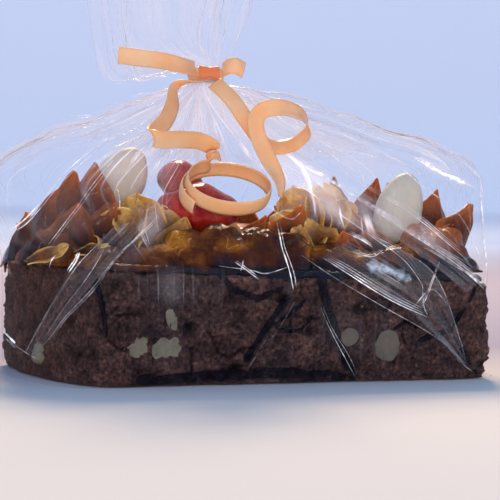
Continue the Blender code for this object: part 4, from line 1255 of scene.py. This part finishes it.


# folds on the front, which glow as painted highlights: x and z along the line, width, height, brightness, how
# many side by side, their distance
foldLines = (
    (((8.0, 66.8), (16.8, 61.9), (27.4, 54.7), (38.4, 46.2), (50.3, 38.6), (61.0, 31.5), (68.9, 26.3)),
     0.8, 0.4, 1.0, 4, 0.9),
    (((5.5, 63.7), (15.3, 55.7), (25.0, 47.1), (33.8, 40.5), (41.6, 34.4), (47.8, 26.4)),
     0.6, 0.3, 0.85, 4, 1.3),
    (((21.8, 63.5), (32.6, 56.8), (44.3, 49.1), (54.1, 41.2), (61.8, 34.4)), 0.6, 0.3, 0.85, 3, 1.1),
    (((27.3, 66.7), (42.5, 64.0), (52.8, 55.1), (61.2, 47.8), (65.6, 39.2), (68.0, 30.6)),
     0.5, 0.3, 0.8, 1, 1),
    (((52.5, 65.0), (56.5, 62.3), (60.5, 59.8), (65.0, 57.6), (70.0, 55.8)), 2.6, 0.5, 1.2, 3, 1.0),
    (((68.5, 64.0), (72.0, 59.0), (71.8, 50.9), (70.2, 40.7), (68.2, 27.7)), 1.0, 0.4, 1.0, 2, 1.0),
    (((10.5, 36.2), (19.0, 30.7), (34.2, 22.2), (52.9, 11.9), (61.9, 2.5)), 0.5, 0.3, 0.7, 1, 1),
    (((16.9, 35.4), (23.4, 31.5), (37.2, 23.6), (49.6, 18.3)), 0.7, 0.3, 1.25, 4, 0.9),
    (((48.6, 38.3), (54.9, 34.4), (61.7, 30.7), (67.6, 26.3)), 0.5, 0.3, 1.0, 3, 0.7),
    (((-41.5, 43.2), (-46.4, 38.4), (-51.0, 33.2), (-56.5, 22.0), (-59.6, 14.5), (-62.0, 7.5)),
     0.6, 0.3, 0.6, 1, 1),
    (((-23.0, 52.5), (-30.5, 44.9), (-37.0, 39.3), (-42.4, 34.3), (-47.5, 26.8), (-53.5, 19.0),
      (-57.0, 12.8), (-60.5, 7.5)), 0.7, 0.3, 0.65, 2, 0.7),
    (((-44.6, 37.4), (-47.1, 32.7), (-50.0, 27.6), (-53.8, 21.5), (-58.0, 13.0)), 0.6, 0.3, 0.55, 1, 1),
    (((-53.0, 31.1), (-51.4, 34.2), (-50.6, 36.8)), 1.1, 0.4, 1.0, 2, 0.9),
    (((30.4, 42.7), (40.8, 37.7), (49.2, 32.1), (54.4, 24.6), (58.4, 14.8), (61.5, 7.0)),
     0.5, 0.3, 0.65, 1, 1),
    (((47.0, 21.5), (49.0, 26.0), (50.6, 30.5), (52.4, 34.4)), 0.7, 0.3, 0.9, 2, 0.9),
    (((-40.3, 67.9), (-50.5, 60.4), (-58.8, 51.9), (-65.0, 44.6), (-69.2, 40.9)), 0.7, 0.4, 0.95, 2, 1.6),
    (((-36.4, 65.1), (-44.5, 56.3), (-52.7, 46.6), (-58.3, 38.6)), 0.6, 0.3, 0.7, 2, 1.2),
    (((-38.8, 53.8), (-39.1, 51.0), (-39.4, 48.4)), 1.0, 0.4, 1.0, 1, 1),
    (((-56.2, 35.8), (-57.0, 34.0), (-57.3, 32.1)), 1.0, 0.4, 1.0, 1, 1),
    (((-68.6, 13.7), (-66.7, 11.6), (-65.2, 11.0)), 1.0, 0.4, 1.0, 1, 1),
    (((-8.8, 34.3), (-6.3, 32.7), (-2.0, 29.6)), 0.8, 0.4, 1.0, 2, 0.8),
    (((-7.2, 31.8), (-6.2, 34.8)), 0.8, 0.4, 1.0, 1, 1),
    (((-13.4, 33.2), (-4.3, 32.1), (0.2, 31.2), (7.2, 33.2)), 0.5, 0.3, 0.9, 1, 1),
    (((5.5, 47.2), (5.5, 37.6), (7.2, 30.7), (8.2, 26.5)), 0.6, 0.3, 1.0, 2, 1.4),
    (((25.1, 42.4), (29.2, 40.4), (32.4, 38.2)), 0.8, 0.4, 0.95, 3, 1.0),
    (((25.5, 37.1), (31.3, 35.7), (35.3, 37.7)), 0.6, 0.4, 0.95, 2, 1.2),
    (((4.2, 50.0), (7.0, 47.2), (10.1, 45.9), (13.2, 48.1)), 0.7, 0.4, 0.9, 1, 1),
    (((15.3, 23.7), (19.4, 15.3), (23.4, 8.1), (27.7, 1.0)), 0.4, 0.3, 0.8, 2, 1.6),
    (((8.9, 23.8), (4.9, 16.8), (-0.4, 10.0)), 0.4, 0.3, 0.45, 1, 1),
    (((1.2, 14.1), (-1.6, 9.4), (-4.7, 4.5)), 0.4, 0.3, 0.4, 1, 1),
    (((44.3, 21.2), (49.6, 26.6), (55.2, 22)), 0.5, 0.3, 0.8, 1, 1),
    (((46.8, 28.4), (47.5, 22.0), (49.0, 19.0)), 0.5, 0.3, 0.8, 1, 1),
    (((-67.3, 10.6), (-62.8, 7.8), (-59.4, 6.2)), 0.5, 0.3, 0.8, 1, 1),
    (((57.7, 8.4), (60.9, 4.6), (64.1, 2.5)), 0.5, 0.3, 0.6, 1, 1),
    (((-6.3, 86.3), (-0.6, 78.1), (3.9, 66.1), (4.7, 51.4)), 0.7, 0.4, 0.65, 3, 1.8),
    (((-4.2, 87.0), (7.3, 79.8), (21.7, 69.6), (31.7, 59.2)), 0.7, 0.4, 0.65, 3, 2.0),
    (((-13.4, 86.0), (-21.8, 78.8), (-31.3, 71.1), (-40.7, 65.0)), 0.7, 0.4, 0.65, 3, 2.0),
    (((-12.1, 85.5), (-17.6, 76.0), (-24.7, 65.4), (-30.6, 55.2)), 0.7, 0.4, 0.65, 3, 1.8),
)
# a bluish gleam on the film, a painted reflection
filmGleam = (((29.5, 34.0), (36.0, 32.2), (43.5, 29.2)), 5.6, 0.3, 0.6)
# cloudy places on the front, which also glow as painted light: middle x and z, half width, half height,
# slope, strength
filmVeils = (
    (-50, 58, 20, 9, 0.5, 0.08), (-35, 59, 11, 9, 0.3, 0.20), (-11, 71, 17, 11, 0, 0.09),
    (20, 54, 23, 10, -0.5, 0.8), (-22, 58, 9, 8, 0, 0.14), (10, 62, 14, 9, -0.7, 0.22),
    (44, 46, 20, 6, -0.6, 0.26), (-30, 45, 14, 7, 1.1, 0.3), (-24, 28, 17, 7, 0, 0.14),
    (-52, 47, 14, 11, 0.4, 0.15), (28, 15, 22, 9, -0.2, 0.05), (62, 60, 12, 6, -0.4, 0.16),
)
# hazy doubled film between two such lines, its haze and its painted bluish reflection
filmFlaps = (
    (((-41.5, 43.2), (-51.0, 33.2), (-56.5, 22.0), (-62.0, 7.5)),
     ((-30.0, 46.5), (-42.4, 34.3), (-53.5, 19.0), (-60.0, 7.5)), 0.12, 0),
    (((15.7, 35.4), (40.3, 22.1), (52.9, 11.9), (61.9, 3.7)),
     ((30.4, 42.7), (49.2, 32.1), (56.4, 20.0), (61.5, 6.0)), 0.10, 0.16),
    (((9.5, 69.3), (28.4, 57.5), (46.4, 43.5), (66.8, 28.7)),
     ((4.5, 62.0), (24.4, 51.5), (42.8, 38.5), (60.8, 25.7)), 0.14, 0.15),
)


def onFilm(film, x, z):
    hit = film.ray_cast(spot(x, -100, z), Vector((0, 1, 0)))
    if hit[0] is None:
        return spot(x, -20, z), Vector((0, -1, 0))
    return hit[0], hit[1] if hit[1].y < 0 else -hit[1]


def addFold(shape, film, line, width, height, bright, shift=0, blueGleam=0):
    # a narrow raised strip along a line on the front, moved aside by shift, whose glow is a painted highlight
    points = [Vector((x, 0, z)) for x, z in line]
    aside = (points[-1] - points[0]).cross(Vector((0, 1, 0))).normalized() * shift
    points = [point + aside * (0.6 + 0.5 * noise.noise(point * 0.09)) for point in points]
    rows = max(6, int(sum((b - a).length for a, b in zip(points, points[1:])) / 0.9))
    trim = 0.12 * abs(shift) / (1 + abs(shift))

    def place(u, v):
        share = trim + v * (1 - 2 * trim)
        here = curveThrough(points, share)
        run = (curveThrough(points, share + 0.02) - curveThrough(points, share - 0.02)).normalized()
        spotHit, normal = onFilm(film, here.x, here.z)
        side = run.cross(normal).normalized()
        t = 2 * u - 1
        uneven = abs(noise.noise(Vector((v * 7, width * 7, line[0][0] + shift))))
        taper = min(1, 5 * v, 5 * (1 - v)) * (0.4 + 1.2 * uneven) + 0.02
        lift = 0.2 + height * (1 - abs(t)) * taper
        return spotHit + (normal * lift + side * t * width / 2 * taper) * mm

    verts = addSheet(shape, 4, rows, place)
    addValue(shape, "foldAndGlint", verts, bright)
    # painted bluish reflection
    addValue(shape, "blueGleam", verts, blueGleam)


def addCrease(shape, film, turn, sweep, low, high, width, bright):
    # a narrow fold anywhere round the bag, from low to high along the sheet, whose glow is a painted
    # highlight
    def path(v):
        return filmPoint(filmRings, turn + sweep * v, low + (high - low) * v)

    rows = max(6, int((path(1) - path(0)).length / mm / 1.2))

    def place(u, v):
        run = (path(v + 0.02) - path(v - 0.02)).normalized()
        spotHit, normal = film.find_nearest(path(v))[:2]
        side = run.cross(normal).normalized()
        t = 2 * u - 1
        taper = min(1, 5 * v, 5 * (1 - v)) + 0.02
        sway = 0.6 * noise.noise(Vector((turn * 9, v * 2, 2))) * taper
        lift = 0.2 + 0.4 * (1 - abs(t)) * taper
        return spotHit + (normal * lift + side * (t * width / 2 * taper + sway)) * mm

    verts = addSheet(shape, 4, rows, place)
    addValue(shape, "foldAndGlint", verts, bright)


def addFlap(shape, film, first, second, haze, blueGleam):
    one = [Vector((x, 0, z)) for x, z in first]
    two = [Vector((x, 0, z)) for x, z in second]

    def place(u, v):
        here = curveThrough(one, v).lerp(curveThrough(two, v), u)
        spotHit, normal = onFilm(film, here.x, here.z)
        ripple = 0.35 * noise.noise(Vector((u * 4, v * 12, 3)))
        return spotHit + normal * (0.7 + ripple) * mm

    verts = addSheet(shape, 14, 50, place)
    uv = shape.loops.layers.uv.active
    for loop in {loop for vert in verts for loop in vert.link_loops}:
        loop[uv].uv *= 0.12
    addValue(shape, "haze", verts, haze)
    # a painted glow that goes with the flap's haze
    addValue(shape, "milkAndGlow", verts, 0.3 * haze)
    # painted bluish reflection
    addValue(shape, "blueGleam", verts, blueGleam)


def makeFilm():
    look = filmLook
    shape = newShape()

    def place(u, v):
        return filmPoint(filmRings, frontHeavy(u % 1), v)

    addSheet(shape, look["columns"], look["rows"], place)
    bmesh.ops.recalc_face_normals(shape, faces=shape.faces)
    shape.normal_update()
    moveAll(shape, crumple)
    pushOutside(shape, contentsTree(contentNames), look["clearance"])
    soften(shape, [vert for vert in shape.verts if vert.co.z > 1 * mm], 0.3)

    # how cloudy the film is here, which sets its haze and a painted glow
    def milkAndGlow(vert):
        x, y, z = vert.co / mm
        whole = 0
        for middleX, middleZ, halfX, halfZ, slope, strength in filmVeils:
            across = (x - middleX) / halfX
            up = (z - middleZ - slope * (x - middleX)) / halfZ
            whole += strength * smoothStep(1, 0.3, math.hypot(across, up)) * (y < 5)
        return whole * (0.75 + 0.5 * noise.noise(vert.co * 40))

    def haze(vert):
        z = vert.co.z / mm
        base = 0.008 + 0.04 * smoothStep(42, 58, z)
        base += 0.12 * smoothStep(54, 70, z) + 0.22 * smoothStep(66, 90, z)
        return base * (0.75 + 0.5 * noise.noise(vert.co * 40)) + milkAndGlow(vert)

    addValue(shape, "milkAndGlow", shape.verts, milkAndGlow)
    addValue(shape, "haze", shape.verts, haze)
    addValue(shape, "foldAndGlint", shape.verts, 0)
    addValue(shape, "blueGleam", shape.verts, 0)
    film = BVHTree.FromBMesh(shape)

    def inner(u, v):  # a gathered layer inside, near the tie
        turn = 2 * math.pi * u
        grow, start = look["innerGrow"], look["innerStart"]
        here = filmPoint(filmRings, turn, start + v * (0.975 - start), grow)
        ridge = noise.noise(Vector((math.cos(turn) * 5, math.sin(turn) * 5, v + grow * 9)))
        return here - Vector((0, 0, (2.0 + 2.5 * abs(ridge)) * (1 - v) * mm))

    layer = addSheet(shape, 150, 30, inner)
    addValue(shape, "haze", layer, lambda vert: 0.10 + 0.16 * smoothStep(60, 88, vert.co.z / mm))
    addValue(shape, "foldAndGlint", layer, 0)
    for line, width, height, bright, count, gap in foldLines:
        for i in range(count):
            addFold(shape, film, line, width / (1 + 0.3 * i), height, bright * (1 - 0.15 * i), i * gap)
    line, width, height, bright = filmGleam
    addFold(shape, film, line, width, height, bright, blueGleam=0.8)
    for first, second, veil, blueGleam in filmFlaps:
        addFlap(shape, film, first, second, veil, blueGleam)
    chance = random.Random(look["seed"])
    for i in range(look["creases"]):
        turn = 2 * math.pi * (i + chance.random()) / look["creases"]
        high = chance.uniform(0.6, 0.93)
        low = max(0.4, high - chance.uniform(0.06, 0.3))
        width = chance.uniform(0.2, 0.7)
        sweep = chance.uniform(-0.12, 0.12)
        addCrease(shape, film, turn, sweep, low, high, width, chance.uniform(0.08, 0.35))
    finishPiece("filmBag", shape, "film", filmSurface, ["bag"])


frillLayers = ((1.0, 0, 0), (0.62, 8, 0.08))  # width, noise seed, start


def makeFrill():
    shape = newShape()
    for layer, (grow, seed, low) in enumerate(frillLayers):
        def place(u, v):
            turn = 2 * math.pi * u
            v = low + v * (1 - low)
            here = filmPoint(frillRings, turn, v * (1 - 0.03 * layer), grow)
            open1 = smoothStep(0.05, 0.5, v)
            ring = Vector((math.cos(turn) * 2.6, math.sin(turn) * 2.6, v * 0.9 + seed))
            fine = Vector((math.cos(turn) * 8, math.sin(turn) * 8, v * 1.6 + seed))
            middle = spot(-18, 4.5, here.z / mm)
            out = Vector((here.x - middle.x, here.y - middle.y, 0))
            swell = (1 - 2.2 * abs(noise.noise(ring))) * 3.0 + (1 - 2.2 * abs(noise.noise(fine))) * 1.0
            here += out.normalized() * (swell - 2.0) * open1 * mm
            here.z += 2.0 * mm * open1 * noise.noise(ring * 1.7)
            return here

        addSheet(shape, 220, 70, place)
    addValue(shape, "haze", shape.verts, lambda vert: 0.075 + 0.08 * smoothStep(100, 88, vert.co.z / mm))
    # a faint painted glow on the frill
    addValue(shape, "milkAndGlow", shape.verts, 0.02)
    addValue(shape, "foldAndGlint", shape.verts, 0)
    finishPiece("filmFrill", shape, "film", filmSurface, ["bag_frill"])


foodSlots = ("brownie", "nut", "glaze", "caramel", "almond", "cherry", "candied_fruit")
contentNames = [thing.name for thing in bpy.data.objects if thing.get("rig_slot") in foodSlots]
makeFilm()
makeFrill()
print("film ready")
